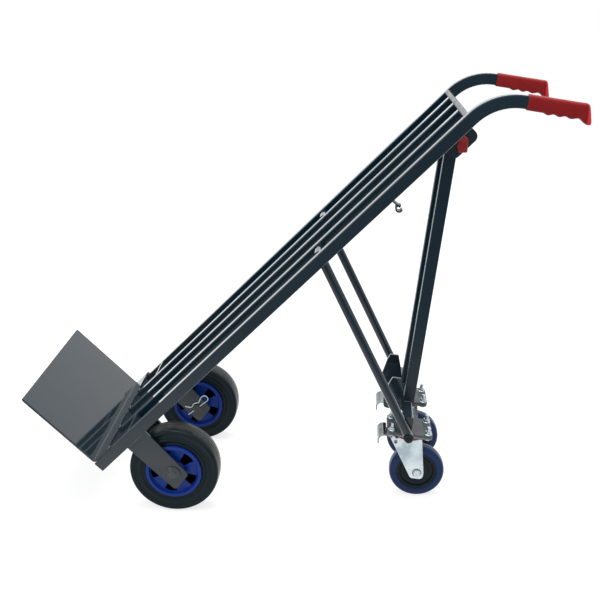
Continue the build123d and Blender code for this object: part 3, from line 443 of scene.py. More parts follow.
@dataclass(frozen=True)
class Paint:
    """Gloss paint on steel with a second colour by height: floor dust on what stands low; on the bars,
    painted light higher up over painted shade low down.
    """

    TONES = Grain(5, 3)
    PATCHES = Grain(11, 5, (0.3, 0.75))
    CHIPS = Grain(70, 4, (0.35, 0.7))
    SMUDGES = Grain(26, 5, (0.3, 0.75), 0.6)
    ORANGE_PEEL = Grain(420, 2)

    name: str = "gloss_anthracite_paint"
    deep: Colour = (0.0003, 0.0175, 0.0330)
    pale: Colour = (0.0007, 0.0212, 0.0385)
    edge: Colour = (0.060, 0.078, 0.090)
    edge_width: float = 1.4 * MM
    edge_share: Point = (0.2, 0.8)
    edge_radius: float = 0.9 * MM
    dust: Colour = (0.066, 0.074, 0.081)
    dust_and_light_height: Point = (0.42, 0.06)
    dust_and_light_share: Point = (0.32, 0.8)
    dust_dull: float = 0.12
    handled: Point = (0.30, 0.37)
    handled_dull: float = 0.3
    scraped_u: Point = (1.0 * MM, 2.0 * MM)
    scraped_dull: float = 0.0
    gloss: Point = (0.06, 0.17)
    peel: float = 0.000012
    ior: float = 1.46
    lacquer: float = 0.0
    lacquer_ior: float = 1.3
    lacquer_gloss: float = 0.05

    def material(self) -> Material:
        """Build the paint: tone drift, a second colour by height (floor dust on most parts, painted light
        over painted shade on the bars), smudged gloss, orange peel and thinner paint on edges.

        Returns:
            The material.
        """
        sketch = NodeSketch(self.name)
        tone = sketch.mix(sketch.noise(self.TONES), self.deep, self.pale)
        # Second colour by height: floor dust low down on most parts; on the bars it is painted light above
        # and painted shade below.
        low = sketch.span(sketch.along("Z"), *self.dust_and_light_height, 0.0, 1.0)
        dust_and_light_mask = sketch.math("MULTIPLY", low, sketch.patches(self.PATCHES, self.dust_and_light_share))
        chips = sketch.patches(self.CHIPS, self.edge_share)
        worn = sketch.math("MULTIPLY", sketch.edges(self.edge_width), chips)
        sketch.colour(sketch.mix(worn, sketch.mix(dust_and_light_mask, tone, self.dust), self.edge))
        smudge = sketch.patches(self.SMUDGES, self.gloss)
        dulled = sketch.math("ADD", smudge, sketch.math("MULTIPLY", dust_and_light_mask, self.dust_dull))
        touched = sketch.span(sketch.along("X"), *self.handled, 0.0, self.handled_dull)
        rough = sketch.math("ADD", dulled, touched)
        if self.scraped_dull:
            scraped = sketch.span(sketch.up_tubes(), *self.scraped_u, self.scraped_dull, 0.0)
            rough = sketch.math("ADD", rough, scraped)
        sketch.roughness(rough)
        sketch.relief([(sketch.noise(self.ORANGE_PEEL), self.peel)], edge=self.edge_radius)
        sketch.fixed("IOR", self.ior)
        sketch.fixed("Coat Weight", self.lacquer)
        sketch.fixed("Coat Roughness", self.lacquer_gloss)
        sketch.fixed("Coat IOR", self.lacquer_ior)
        return sketch.material


@dataclass(frozen=True)
class SpeckledPaint:
    """Coarse textured paint of the castor mount."""

    SPECKS = Grain(620, 3, (0.36, 0.62))
    CLOUDS = Grain(35, 4)

    name: str = "speckled_paint"
    deep: Colour = (0.034, 0.041, 0.050)
    pale: Colour = (0.145, 0.157, 0.172)
    cloud_share: Point = (0.45, 1.0)
    gloss: Point = (0.34, 0.55)
    pits: float = 0.00006
    edge_radius: float = 0.8 * MM

    def material(self) -> Material:
        """Build the paint: two sizes of speck, pitted and dull.

        Returns:
            The material.
        """
        sketch = NodeSketch(self.name)
        specks = sketch.patches(self.SPECKS, (0.0, 1.0))
        clouds = sketch.patches(self.CLOUDS, self.cloud_share)
        sketch.colour(sketch.mix(sketch.math("MULTIPLY", specks, clouds), self.deep, self.pale))
        sketch.roughness(sketch.span(specks, 0.0, 1.0, *self.gloss))
        sketch.relief([(specks, self.pits)], edge=self.edge_radius)
        return sketch.material


@dataclass(frozen=True)
class Zinc:
    """Bright zinc plate."""

    POLISH = Grain(90, 5, (0.3, 0.72))
    BRUSH = Grain(1, 3)

    name: str = "bright_zinc"
    cool: Colour = (0.42, 0.50, 0.54)
    warm: Colour = (0.54, 0.61, 0.64)
    bright: Colour = (0.80, 0.83, 0.85)
    gloss: Point = (0.2, 0.38)
    clouds: Grain = Grain(40, 4, (0.34, 0.66), 0.4)
    spangles: float = 420.0
    spangle_share: float = 0.22
    edge_width: float = 0.8 * MM
    edge_share: float = 0.35
    edge_radius: float = 0.5 * MM
    brushing: tuple[float, float, float] = (60, 400, 60)
    brush_depth: float = 0.000018

    def material(self) -> Material:
        """Build the plating: spangle, cloudy tint and fine brushing.

        Returns:
            The material.
        """
        sketch = NodeSketch(self.name)
        tint = sketch.mix(sketch.patches(self.clouds, (0.0, 1.0)), self.cool, self.warm)
        spangle = sketch.span(sketch.cells(self.spangles), 0.0, 1.0, 0.0, self.spangle_share)
        rubbed = sketch.math("MULTIPLY", sketch.edges(self.edge_width), self.edge_share)
        sketch.colour(sketch.mix(rubbed, sketch.mix(spangle, tint, self.cool), self.bright))
        sketch.roughness(sketch.patches(self.POLISH, self.gloss))
        brushed = sketch.noise(self.BRUSH, source=sketch.mapped(scale=self.brushing))
        sketch.relief([(brushed, self.brush_depth)], edge=self.edge_radius)
        sketch.fixed("Metallic", 1.0)
        return sketch.material


@dataclass(frozen=True)
class Plastic:
    """Moulded plastic with a fine grain."""

    FLOW = Grain(18, 4, distortion=0.8)
    SHEEN = Grain(55, 4)
    SKIN = Grain(1400, 2)

    name: str
    deep: Colour
    pale: Colour
    edge: Colour
    edge_width: float = 1.0 * MM
    edge_share: float = 0.7
    edge_radius: float = 0.6 * MM
    gloss: Point = (0.28, 0.45)
    skin_depth: float = 0.000015
    ior: float = 1.47

    def material(self) -> Material:
        """Build the moulding: flow marks, grain and paler edges.

        Returns:
            The material.
        """
        sketch = NodeSketch(self.name)
        flow = sketch.mix(sketch.noise(self.FLOW), self.deep, self.pale)
        rubbed = sketch.math("MULTIPLY", sketch.edges(self.edge_width), self.edge_share)
        sketch.colour(sketch.mix(rubbed, flow, self.edge))
        sketch.roughness(sketch.patches(self.SHEEN, self.gloss))
        sketch.relief([(sketch.noise(self.SKIN), self.skin_depth)], edge=self.edge_radius)
        sketch.fixed("IOR", self.ior)
        return sketch.material


@dataclass(frozen=True)
class WheelRubber:
    """Rubber of a wheel, with dust and a painted highlight on the running surface."""

    BLOOM = Grain(22, 5)
    PATCHES = Grain(34, 5, (0.25, 0.7), 0.5)
    SHEEN = Grain(60, 4)
    SKIN = Grain(900, 3)

    name: str
    centre: Vector
    radius: float
    deep: Colour
    pale: Colour
    dust: Colour
    gloss: Point = (0.16, 0.34)
    dust_and_light_share: float = 0.75
    dust_and_light_least: float = 0.25
    dust_and_light_depth: float = 1.6 * MM
    dust_and_light_full: float = 0.1
    dust_dull: float = 0.75
    skin_depth: float = 0.00002
    edge_radius: float = 0.6 * MM
    ior: float = 1.45

    def material(self) -> Material:
        """Build the rubber: moulding bloom on the walls, and dust with a painted highlight where the wheel
        runs.

        Returns:
            The material.
        """
        sketch = NodeSketch(self.name)
        wall = sketch.mix(sketch.noise(self.BLOOM), self.deep, self.pale)
        # Running surface: dust together with a painted highlight, paler along the crown.
        run = sketch.span(sketch.radius_about(self.centre), self.radius - self.dust_and_light_depth,
                          self.radius - self.dust_and_light_full * self.dust_and_light_depth, 0.0, 1.0)
        patchy = sketch.patches(self.PATCHES, (self.dust_and_light_least * self.dust_and_light_share, self.dust_and_light_share))
        dusted_and_lit = sketch.math("MULTIPLY", run, patchy)
        sketch.colour(sketch.mix(dusted_and_lit, wall, self.dust))
        dull = sketch.math("MULTIPLY", dusted_and_lit, self.dust_dull)
        sketch.roughness(sketch.math("MAXIMUM", sketch.patches(self.SHEEN, self.gloss), dull))
        sketch.relief([(sketch.noise(self.SKIN), self.skin_depth)], edge=self.edge_radius)
        sketch.fixed("IOR", self.ior)
        return sketch.material


@dataclass(frozen=True)
class GripVinyl:
    """Dull red vinyl with a pebbled skin, rubbed edges with a painted highlight, and a painted highlight on
    its end flange.
    """

    TONES = Grain(30, 4)
    SHEEN = Grain(45, 4)
    SKIN = Grain(600, 2)

    name: str = "red_vinyl"
    deep: Colour = (0.285, 0.0075, 0.0095)
    pale: Colour = (0.365, 0.0115, 0.0135)
    # Paler red edges: rubbed wear together with a painted highlight on the rounded edges.
    edge: Colour = (0.48, 0.03, 0.032)
    edge_width: float = 2.5 * MM
    edge_share: float = 0.6
    # Painted highlight: the end flange is paler red where its rounding catches the light.
    flange: Colour = (0.96, 0.055, 0.055)
    end_highlight_x: Point = (0.5650, 0.5675)
    gloss: Point = (0.46, 0.6)
    pebbles: float = 700.0
    pebble_depth: float = 0.00002
    skin_depth: float = 0.00004
    ior: float = 1.34

    def material(self) -> Material:
        """Build the vinyl: pebbles, handling shine, rubbed edges with a painted highlight, and a painted
        highlight on the end.

        Returns:
            The material.
        """
        sketch = NodeSketch(self.name)
        tone = sketch.mix(sketch.noise(self.TONES), self.deep, self.pale)
        # Paler red on the end flange: a painted highlight.
        end_highlighted = sketch.mix(sketch.span(sketch.along("X"), *self.end_highlight_x, 0.0, 1.0), tone, self.flange)
        rubbed = sketch.math("MULTIPLY", sketch.edges(self.edge_width), self.edge_share)
        sketch.colour(sketch.mix(rubbed, end_highlighted, self.edge))
        sketch.roughness(sketch.patches(self.SHEEN, self.gloss))
        sketch.relief([(sketch.cells(self.pebbles), self.pebble_depth),
                       (sketch.noise(self.SKIN), self.skin_depth)])
        sketch.fixed("IOR", self.ior)
        return sketch.material


def new_corners(made: dict) -> list[Corner]:
    """Points among what a mesh operator made."""
    return [g for g in made["geom"] if isinstance(g, Corner)]


def ring_edges(ring: Sequence[Corner]) -> list[bmesh.types.BMEdge]:
    """Edges that join the points of a ring."""
    chosen = set(ring)
    return list({e for v in ring for e in v.link_edges if e.other_vert(v) in chosen})


def pulled(bm: Mesh, ring: list[Corner]) -> list[Corner]:
    """Extrude a ring of points.

    Args:
        bm: the mesh.
        ring: points joined one to the next.

    Returns:
        The new ring, in the same order.
    """
    new = set(new_corners(bmesh.ops.extrude_edge_only(bm, edges=ring_edges(ring))))
    return [next(e.other_vert(v) for e in v.link_edges if e.other_vert(v) in new) for v in ring]


def capped(bm: Mesh, ring: Sequence[Corner]) -> None:
    """Close a ring of points with a face."""
    bmesh.ops.contextual_create(bm, geom=ring_edges(ring))


def eased(bm: Mesh, geom: Sequence, radius: float, segments: int, affect: str = "VERTICES") -> None:
    """Round off corners or edges.

    Args:
        bm: the mesh.
        geom: what is rounded.
        radius: millimetres.
        segments: facets of the rounding.
        affect: VERTICES or EDGES.
    """
    bmesh.ops.bevel(bm, geom=geom, offset=radius * MM, offset_type="OFFSET", segments=segments,
                    profile=0.5, affect=affect, clamp_overlap=True, material=-1)


def facing(centre: Vector, axis: Vector) -> Matrix:
    """Matrix that puts a flat shape at a point, square to an axis."""
    return Matrix.Translation(centre) @ axis.to_track_quat("Z", "Y").to_matrix().to_4x4()


def both_ways(half: list[Point]) -> list[Point]:
    """Half of a section, then its mirror image."""
    return half + [(-a, b) for a, b in reversed(half)]


class Shape:
    """A mesh under construction."""

    END_FACE = 0.99
    ON_AXIS = 0.01
    WELD_GAP = 0.005 * MM
    BEAD_SIDES = 10
    BEAD_TIP = 0.4
    BEAD_TAPER = 5
    BEAD_RIPPLE = 0.13
    BEAD_STEPS = 4

    def __init__(self) -> None:
        """Start with no geometry."""
        self.bm = bmesh.new()

    def _take(self, part: Mesh) -> None:
        """Join a finished part to the mesh.

        Args:
            part: mesh that is used up.
        """
        scratch = bpy.data.meshes.new("scratch")
        part.to_mesh(scratch)
        part.free()
        self.bm.from_mesh(scratch)
        bpy.data.meshes.remove(scratch)

    def _flat(self, outline: Sequence[Vector], corner: float, segments: int) -> Mesh:
        """Start a part from one face with rounded corners.

        Args:
            outline: corner points in metres, in order.
            corner: radius of the corners, millimetres.
            segments: facets of each corner.

        Returns:
            The new part.
        """
        part = bmesh.new()
        part.faces.new([part.verts.new(p) for p in outline])
        if corner:
            eased(part, part.verts[:], corner, segments)
        return part

    def _raised(self, part: Mesh, thickness: Vector, ease: float) -> None:
        """Extrude a part's one face, ease the edges of both ends, and join it.

        Args:
            part: mesh that is used up.
            thickness: extrusion in metres.
            ease: radius of the edges, millimetres.
        """
        made = bmesh.ops.extrude_face_region(part, geom=part.faces[:])
        bmesh.ops.translate(part, vec=thickness, verts=new_corners(made))
        if ease:
            part.normal_update()
            way = thickness.normalized()
            ends = [f for f in part.faces if abs(f.normal.dot(way)) > self.END_FACE]
            eased(part, list({e for f in ends for e in f.edges}), ease, 3, "EDGES")
        self._take(part)

    def turned(self, profile: Sequence[Point], centre: Vector, axis: Vector, rounding: float = 0.0,
               steps: int = 96) -> None:
        """Spin a closed section round an axis.

        Args:
            profile: axial and radial distances in millimetres.
            centre: point on the axis.
            axis: direction of the axis.
            rounding: radius given to the section's corners, millimetres.
            steps: facets round the axis.
        """
        part = bmesh.new()
        way = axis.normalized()
        out = way.orthogonal().normalized()
        verts = [part.verts.new(centre + (way * a + out * r) * MM) for a, r in profile]
        for first, second in zip(verts, verts[1:] + verts[:1]):
            part.edges.new((first, second))
        if rounding:
            eased(part, [v for v, (_, r) in zip(verts, profile) if r > self.ON_AXIS], rounding, 3)
        bmesh.ops.spin(part, geom=part.verts[:] + part.edges[:], cent=centre, axis=way, dvec=(0, 0, 0),
                       angle=math.tau, steps=steps, use_merge=True, use_duplicate=False)
        self._take(part)

    def plate(self, outline: Sequence[Vector], thickness: Vector, corner: float, ease: float) -> None:
        """Extrude a flat outline.

        Args:
            outline: corner points in metres, in order.
            thickness: extrusion in metres.
            corner: radius of the outline's corners, millimetres.
            ease: radius of the edges, millimetres.
        """
        self._raised(self._flat(outline, corner, 5), thickness, ease)

    def cup(self, outline: Sequence[Vector], depth: Vector, corner: float, thickness: float) -> None:
        """Make a thin open cup.

        Args:
            outline: corner points of its floor in metres, in order.
            depth: from the floor to the open end.
            corner: radius of the outline's corners, millimetres.
            thickness: of the wall, millimetres.
        """
        part = self._flat(outline, corner, 4)
        made = bmesh.ops.extrude_face_region(part, geom=part.faces[:])
        bmesh.ops.translate(part, vec=depth, verts=new_corners(made))
        bmesh.ops.recalc_face_normals(part, faces=part.faces[:])
        lid = [g for g in made["geom"] if isinstance(g, bmesh.types.BMFace)]
        bmesh.ops.delete(part, geom=lid, context="FACES_ONLY")
        bmesh.ops.solidify(part, geom=part.faces[:], thickness=thickness * MM)
        self._take(part)

    def prism(self, sides: int, radius: float, centre: Vector, thickness: Vector, ease: float) -> None:
        """Extrude a regular polygon.

        Args:
            sides: number of sides.
            radius: to the corners, millimetres.
            centre: middle of the first end.
            thickness: extrusion in metres.
            ease: radius of the edges, millimetres.
        """
        part = bmesh.new()
        bmesh.ops.create_circle(part, cap_ends=True, segments=sides, radius=radius * MM,
                                matrix=facing(centre, thickness))
        self._raised(part, thickness, ease)

    def bead(self, start: Vector, end: Vector, radius: float, pitch: float = 2.6) -> None:
        """Lay a rippled weld bead.

        Args:
            start: where the bead begins.
            end: where it stops.
            radius: its half width, millimetres.
            pitch: from one ripple to the next, millimetres.
        """
        part = bmesh.new()
        way = end - start
        ripples = way.length / (pitch * MM)
        count = max(2 * self.BEAD_STEPS, round(self.BEAD_STEPS * ripples))
        size = self.BEAD_TIP
        ring = bmesh.ops.create_circle(part, cap_ends=False, segments=self.BEAD_SIDES,
                                       radius=size * radius * MM, matrix=facing(start, way))["verts"]
        capped(part, ring)
        for step in range(1, count + 1):
            share = step / count
            taper = min(1.0, self.BEAD_TIP + self.BEAD_TAPER * min(share, 1 - share))
            wanted = taper * (1 + self.BEAD_RIPPLE * math.cos(math.tau * share * ripples))
            about = Matrix.Translation(-(start + way * share))
            ring = pulled(part, ring)
            bmesh.ops.translate(part, vec=way / count, verts=ring)
            bmesh.ops.scale(part, vec=(wanted / size,) * 3, space=about, verts=ring)
            size = wanted
        capped(part, ring)
        self._take(part)

    def strip(self, path: Sequence[Vector], width: Vector, thickness: float, bend: float) -> None:
        """Bend a flat strip along a path.

        Args:
            path: points of one edge of the strip, in metres.
            width: from that edge to the other.
            thickness: millimetres.
            bend: radius at the path's corners, millimetres.
        """
        part = bmesh.new()
        verts = [part.verts.new(p) for p in path]
        for pair in zip(verts, verts[1:]):
            part.edges.new(pair)
        eased(part, verts[1:-1], bend, 5)
        made = bmesh.ops.extrude_edge_only(part, edges=part.edges[:])
        bmesh.ops.translate(part, vec=width, verts=new_corners(made))
        bmesh.ops.recalc_face_normals(part, faces=part.faces[:])
        bmesh.ops.solidify(part, geom=part.faces[:], thickness=thickness * MM)
        self._take(part)

    def piece(self, name: str, body: str, slot: Slot, material: Material, replaces: Iterable[str] = (),
              sharp: float = 35.0) -> None:
        """Finish the mesh as a piece that rides on a body.

        Args:
            name: the piece's name.
            body: CAD body that carries it.
            slot: the record's material slot; not used.
            material: its finish.
            replaces: CAD nodes that it stands for.
            sharp: edges sharper than this stay crisp, degrees.
        """
        bmesh.ops.remove_doubles(self.bm, verts=self.bm.verts, dist=self.WELD_GAP)
        for edge in [e for e in self.bm.edges if not e.link_faces]:
            self.bm.edges.remove(edge)
        bmesh.ops.recalc_face_normals(self.bm, faces=self.bm.faces)
        open_edges = sum(not e.is_manifold for e in self.bm.edges)
        mesh = bpy.data.meshes.new(name)
        self.bm.to_mesh(mesh)
        self.bm.free()
        mesh.shade_smooth()
        mesh.set_sharp_from_angle(angle=math.radians(sharp))
        mesh.materials.append(material)
        made = bpy.data.objects.new(name, mesh)
        bpy.context.scene.collection.objects.link(made)
        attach(made, body)
        if replaces:
            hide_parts(*replaces)
        LOG.info("%s on %s: %d faces, %d open edges", name, body, len(mesh.polygons), open_edges)


ZINC_NODES = (
    "spring_clip", "strut_pins", "castor_bolts", "castor_nuts", "castor_axle", "latch_bar", "lever_pin",
    "strut_studs",
)


class Finishes:
    """Every finish of the truck, made once."""

    def __init__(self) -> None:
        """Build the materials."""
        self.paint = Paint(ior=1.3, lacquer=1.0).material()
        self.dull_paint = Paint("dull_anthracite_paint", gloss=(0.22, 0.36), handled_dull=0.0,
                                ior=1.56).material()
        self.leg_paint = Paint("leg_paint", gloss=(0.22, 0.36), handled_dull=0.0, ior=1.36).material()
        # Bars: the dust colour and heights here paint light and shade, paler above 0.30 m and the dark base
        # below 0.12 m as painted shade between the bars.
        self.bar_paint_painted_shade = Paint("bar_paint_painted_shade", edge=(0.14, 0.16, 0.17), dust=(0.012, 0.030, 0.043),
                               dust_and_light_height=(0.12, 0.30), dust_and_light_share=(0.8, 1.0), dust_dull=0.0,
                               handled=(-0.31, -0.36), handled_dull=0.45, ior=1.3, lacquer=1.0).material()
        self.blade_paint = Paint("toe_plate_paint", dust=(0.068, 0.077, 0.086), dust_and_light_share=(0.36, 0.56),
                                 dust_dull=0.0, gloss=(0.02, 0.07), scraped_dull=0.5).material()
        # Welds: the paler tone and the light edge colour paint highlights on the beads, along with edge wear.
        self.weld_paint_painted_highlight = Paint("weld_paint_painted_highlight", pale=(0.016, 0.028, 0.038), edge=(0.26, 0.27, 0.275),
                                gloss=(0.06, 0.16), ior=1.55).material()
        self.keeper_paint = Paint("keeper_paint", edge=(0.006, 0.016, 0.024), gloss=(0.3, 0.45)).material()
        self.speckled = SpeckledPaint().material()
        self.zinc = Zinc().material()
        self.dull_zinc = Zinc("dull_zinc", (0.07, 0.085, 0.095), (0.21, 0.23, 0.24), (0.55, 0.58, 0.60),
                              gloss=(0.3, 0.5)).material()
        self.fork_zinc = Zinc("fork_zinc", (0.34, 0.42, 0.46), (0.66, 0.72, 0.74), (0.85, 0.87, 0.88),
                              clouds=Grain(22, 4, (0.34, 0.66), 0.4)).material()
        self.pedal_zinc = Zinc("pedal_zinc", (0.13, 0.15, 0.165), (0.30, 0.325, 0.34), (0.70, 0.73, 0.75),
                               gloss=(0.08, 0.2)).material()
        self.wheel = Plastic("blue_rim_plastic", (0.002, 0.032, 0.265), (0.004, 0.044, 0.345),
                             (0.03, 0.08, 0.45), ior=1.35).material()
        # The tyre's brownish running colour is dust with a painted highlight; the castor tread's paler blue
        # running colour is a painted highlight.
        self.tyre = WheelRubber("black_tyre_rubber", middle("wheel_tyre_left"), 100 * MM,
                                (0.0055, 0.0165, 0.0220), (0.0120, 0.0230, 0.0295), (0.12, 0.108, 0.084),
                                gloss=(0.14, 0.3), dust_and_light_share=0.6, dust_and_light_depth=0.9 * MM, ior=1.22).material()
        self.tread = WheelRubber("blue_castor_rubber", middle("castor_tread_left"), 62.5 * MM,
                                 (0.0005, 0.020, 0.100), (0.0015, 0.030, 0.145), (0.02, 0.050, 0.14),
                                 dust_and_light_share=0.2, ior=1.33).material()
        self.hub = Plastic("black_hub_plastic", (0.0008, 0.008, 0.014), (0.002, 0.012, 0.019),
                           (0.025, 0.035, 0.04), gloss=(0.3, 0.44), ior=1.3).material()
        # Painted shade: near-black liners stand for the shade deep inside the wheel windows.
        self.shade = Plastic("painted_window_shade", (0.0010, 0.0015, 0.006), (0.0015, 0.003, 0.012),
                             (0.002, 0.004, 0.016), gloss=(0.5, 0.7), ior=1.2).material()
        self.ring = Plastic("red_ring_plastic", (0.35, 0.012, 0.010), (0.42, 0.02, 0.016),
                            (0.55, 0.1, 0.09)).material()
        self.grip = GripVinyl().material()
        self.cap = Plastic("red_cap_plastic", (0.40, 0.010, 0.015), (0.48, 0.018, 0.023), (0.66, 0.10, 0.11),
                           gloss=(0.14, 0.24), skin_depth=0.000004, ior=1.45).material()

    def of(self, node: str) -> Material:
        """Finish of a CAD node, by its name.

        Args:
            node: the node's name.

        Returns:
            Its material.
        """
        starts = (
            ("wheel_rim", self.wheel), ("wheel_tyre", self.tyre), ("castor_tread", self.tread),
            (("castor_hub", "stud_nuts"), self.hub), ("dust_ring", self.ring), ("grip", self.grip),
            ("lever_cap", self.cap), ("castor_plates", self.dull_zinc), ("brake_pedal", self.pedal_zinc),
            ("castor_fork", self.fork_zinc), ("frame_bar", self.bar_paint_painted_shade), ("toe_plate", self.blade_paint),
            ("mount_plate", self.speckled), ("top_crossbar", self.dull_paint), ("stand_leg", self.leg_paint),
            (ZINC_NODES, self.zinc),
        )
        for words, finish in starts:
            if node.startswith(words):
                return finish
        return self.paint

    def dress_nodes(self) -> None:
        """Give every CAD node its finish."""
        for name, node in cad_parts.items():
            node.data.materials.clear()
            node.data.materials.append(self.of(name))


@dataclass(frozen=True)
class SoftLamp:
    """Square studio lamp, aimed at a point."""

    name: str
    place: tuple[float, float, float]
    aim: tuple[float, float, float]
    size: float
    watts: float

    def build(self) -> None:
        """Hang the lamp."""
        data = bpy.data.lights.new(self.name, "AREA")
        data.size = self.size
        data.energy = self.watts
        made = bpy.data.objects.new(self.name, data)
        made.location = self.place
        made.rotation_euler = (Vector(self.aim) - Vector(self.place)).to_track_quat("-Z", "Y").to_euler()
        made.visible_camera = False
        bpy.context.scene.collection.objects.link(made)


@dataclass
class Stage:
    """Floor, lights, world and the photograph's camera."""

    floor_size: float = 60.0
    floor_albedo: float = 0.5
    floor_glow: float = 0.74
    front_glow: float = 0.05
    front: Point = (-0.45, -1.3)
    ambient: float = 0.55
    lamps: tuple[SoftLamp, ...] = (
        SoftLamp("overhead_softbox", (0.1, 0.3, 3.4), (0.0, 0.0, 0.3), size=2.6, watts=60),
        SoftLamp("left_softbox", (-2.6, -1.6, 2.6), (0.0, 0.0, 0.4), size=1.8, watts=26),
        SoftLamp("rear_softbox", (0.7, 3.6, 1.9), (0.0, 0.0, 0.4), size=2.2, watts=6.5),
    )
    eye: Vector = field(default_factory=lambda: Vector((0.13284, -1.91885, 1.12693)))
    yaw: float = -0.05803
    pitch: float = 0.34424
    focal: float = 902.78
    picture: float = 600.0
    sensor: float = 36.0

    def floor_finish(self) -> Material:
        """Pale floor that keeps a soft shadow; reflections see it darken towards the viewer.

        Returns:
            The material.
        """
        material = bpy.data.materials.new("pale_floor")
        material.use_nodes = True
        material.node_tree.nodes.clear()
        kit = NodeKit(material.node_tree)
        diffuse = kit.add("ShaderNodeBsdfDiffuse")
        diffuse.inputs["Color"].default_value = (self.floor_albedo,) * 3 + (1.0,)
        level = kit.add("ShaderNodeMapRange")
        level.inputs["To Max"].default_value = self.floor_glow
        kit.link(kit.ray("Is Camera Ray"), level.inputs["Value"])
        mirrored = kit.span(kit.along("Y"), *self.front, self.floor_glow, self.front_glow)
        kit.link(mirrored, level.inputs["To Min"])
        glow = kit.add("ShaderNodeEmission")
        kit.link(kit.math("MULTIPLY", kit.seen(), level.outputs["Result"]), glow.inputs["Strength"])
        both = kit.add("ShaderNodeAddShader")
        kit.link(diffuse.outputs["BSDF"], both.inputs[0])
        kit.link(glow.outputs["Emission"], both.inputs[1])
        kit.link(both.outputs["Shader"], kit.add("ShaderNodeOutputMaterial").inputs["Surface"])
        return material

    def floor(self) -> None:
        """Lay the floor."""
        bm = bmesh.new()
        bmesh.ops.create_grid(bm, x_segments=2, y_segments=2, size=self.floor_size)
        mesh = bpy.data.meshes.new("floor")
        bm.to_mesh(mesh)
        bm.free()
        mesh.materials.append(self.floor_finish())
        made = bpy.data.objects.new("floor", mesh)
        bpy.context.scene.collection.objects.link(made)

    def world(self) -> None:
        """White surroundings, with a plainer level of light from them."""
        world = bpy.data.worlds.new("studio")
        world.use_nodes = True
        kit = NodeKit(world.node_tree)
        background = kit.tree.nodes["Background"]
        background.inputs["Color"].default_value = (1.0, 1.0, 1.0, 1.0)
        kit.link(kit.span(kit.seen(), 0.0, 1.0, self.ambient, 1.0), background.inputs["Strength"])
        bpy.context.scene.world = world

    def camera(self) -> None:
        """Camera at the photograph's viewing angle."""
        data = bpy.data.cameras.new("photo_camera")
        data.sensor_width = self.sensor
        data.lens = self.focal * self.sensor / self.picture
        made = bpy.data.objects.new("photo_camera", data)
        forward = Vector((
            math.sin(self.yaw) * math.cos(self.pitch),
            math.cos(self.yaw) * math.cos(self.pitch),
            -math.sin(self.pitch),
        ))
        made.location = self.eye
        made.rotation_euler = forward.to_track_quat("-Z", "Y").to_euler()
        bpy.context.scene.collection.objects.link(made)
        bpy.context.scene.camera = made

    def build(self) -> None:
        """Set the whole stage."""
        self.floor()
        self.world()
        for lamp in self.lamps:
            lamp.build()
        self.camera()
        bpy.context.scene.view_settings.view_transform = "Standard"


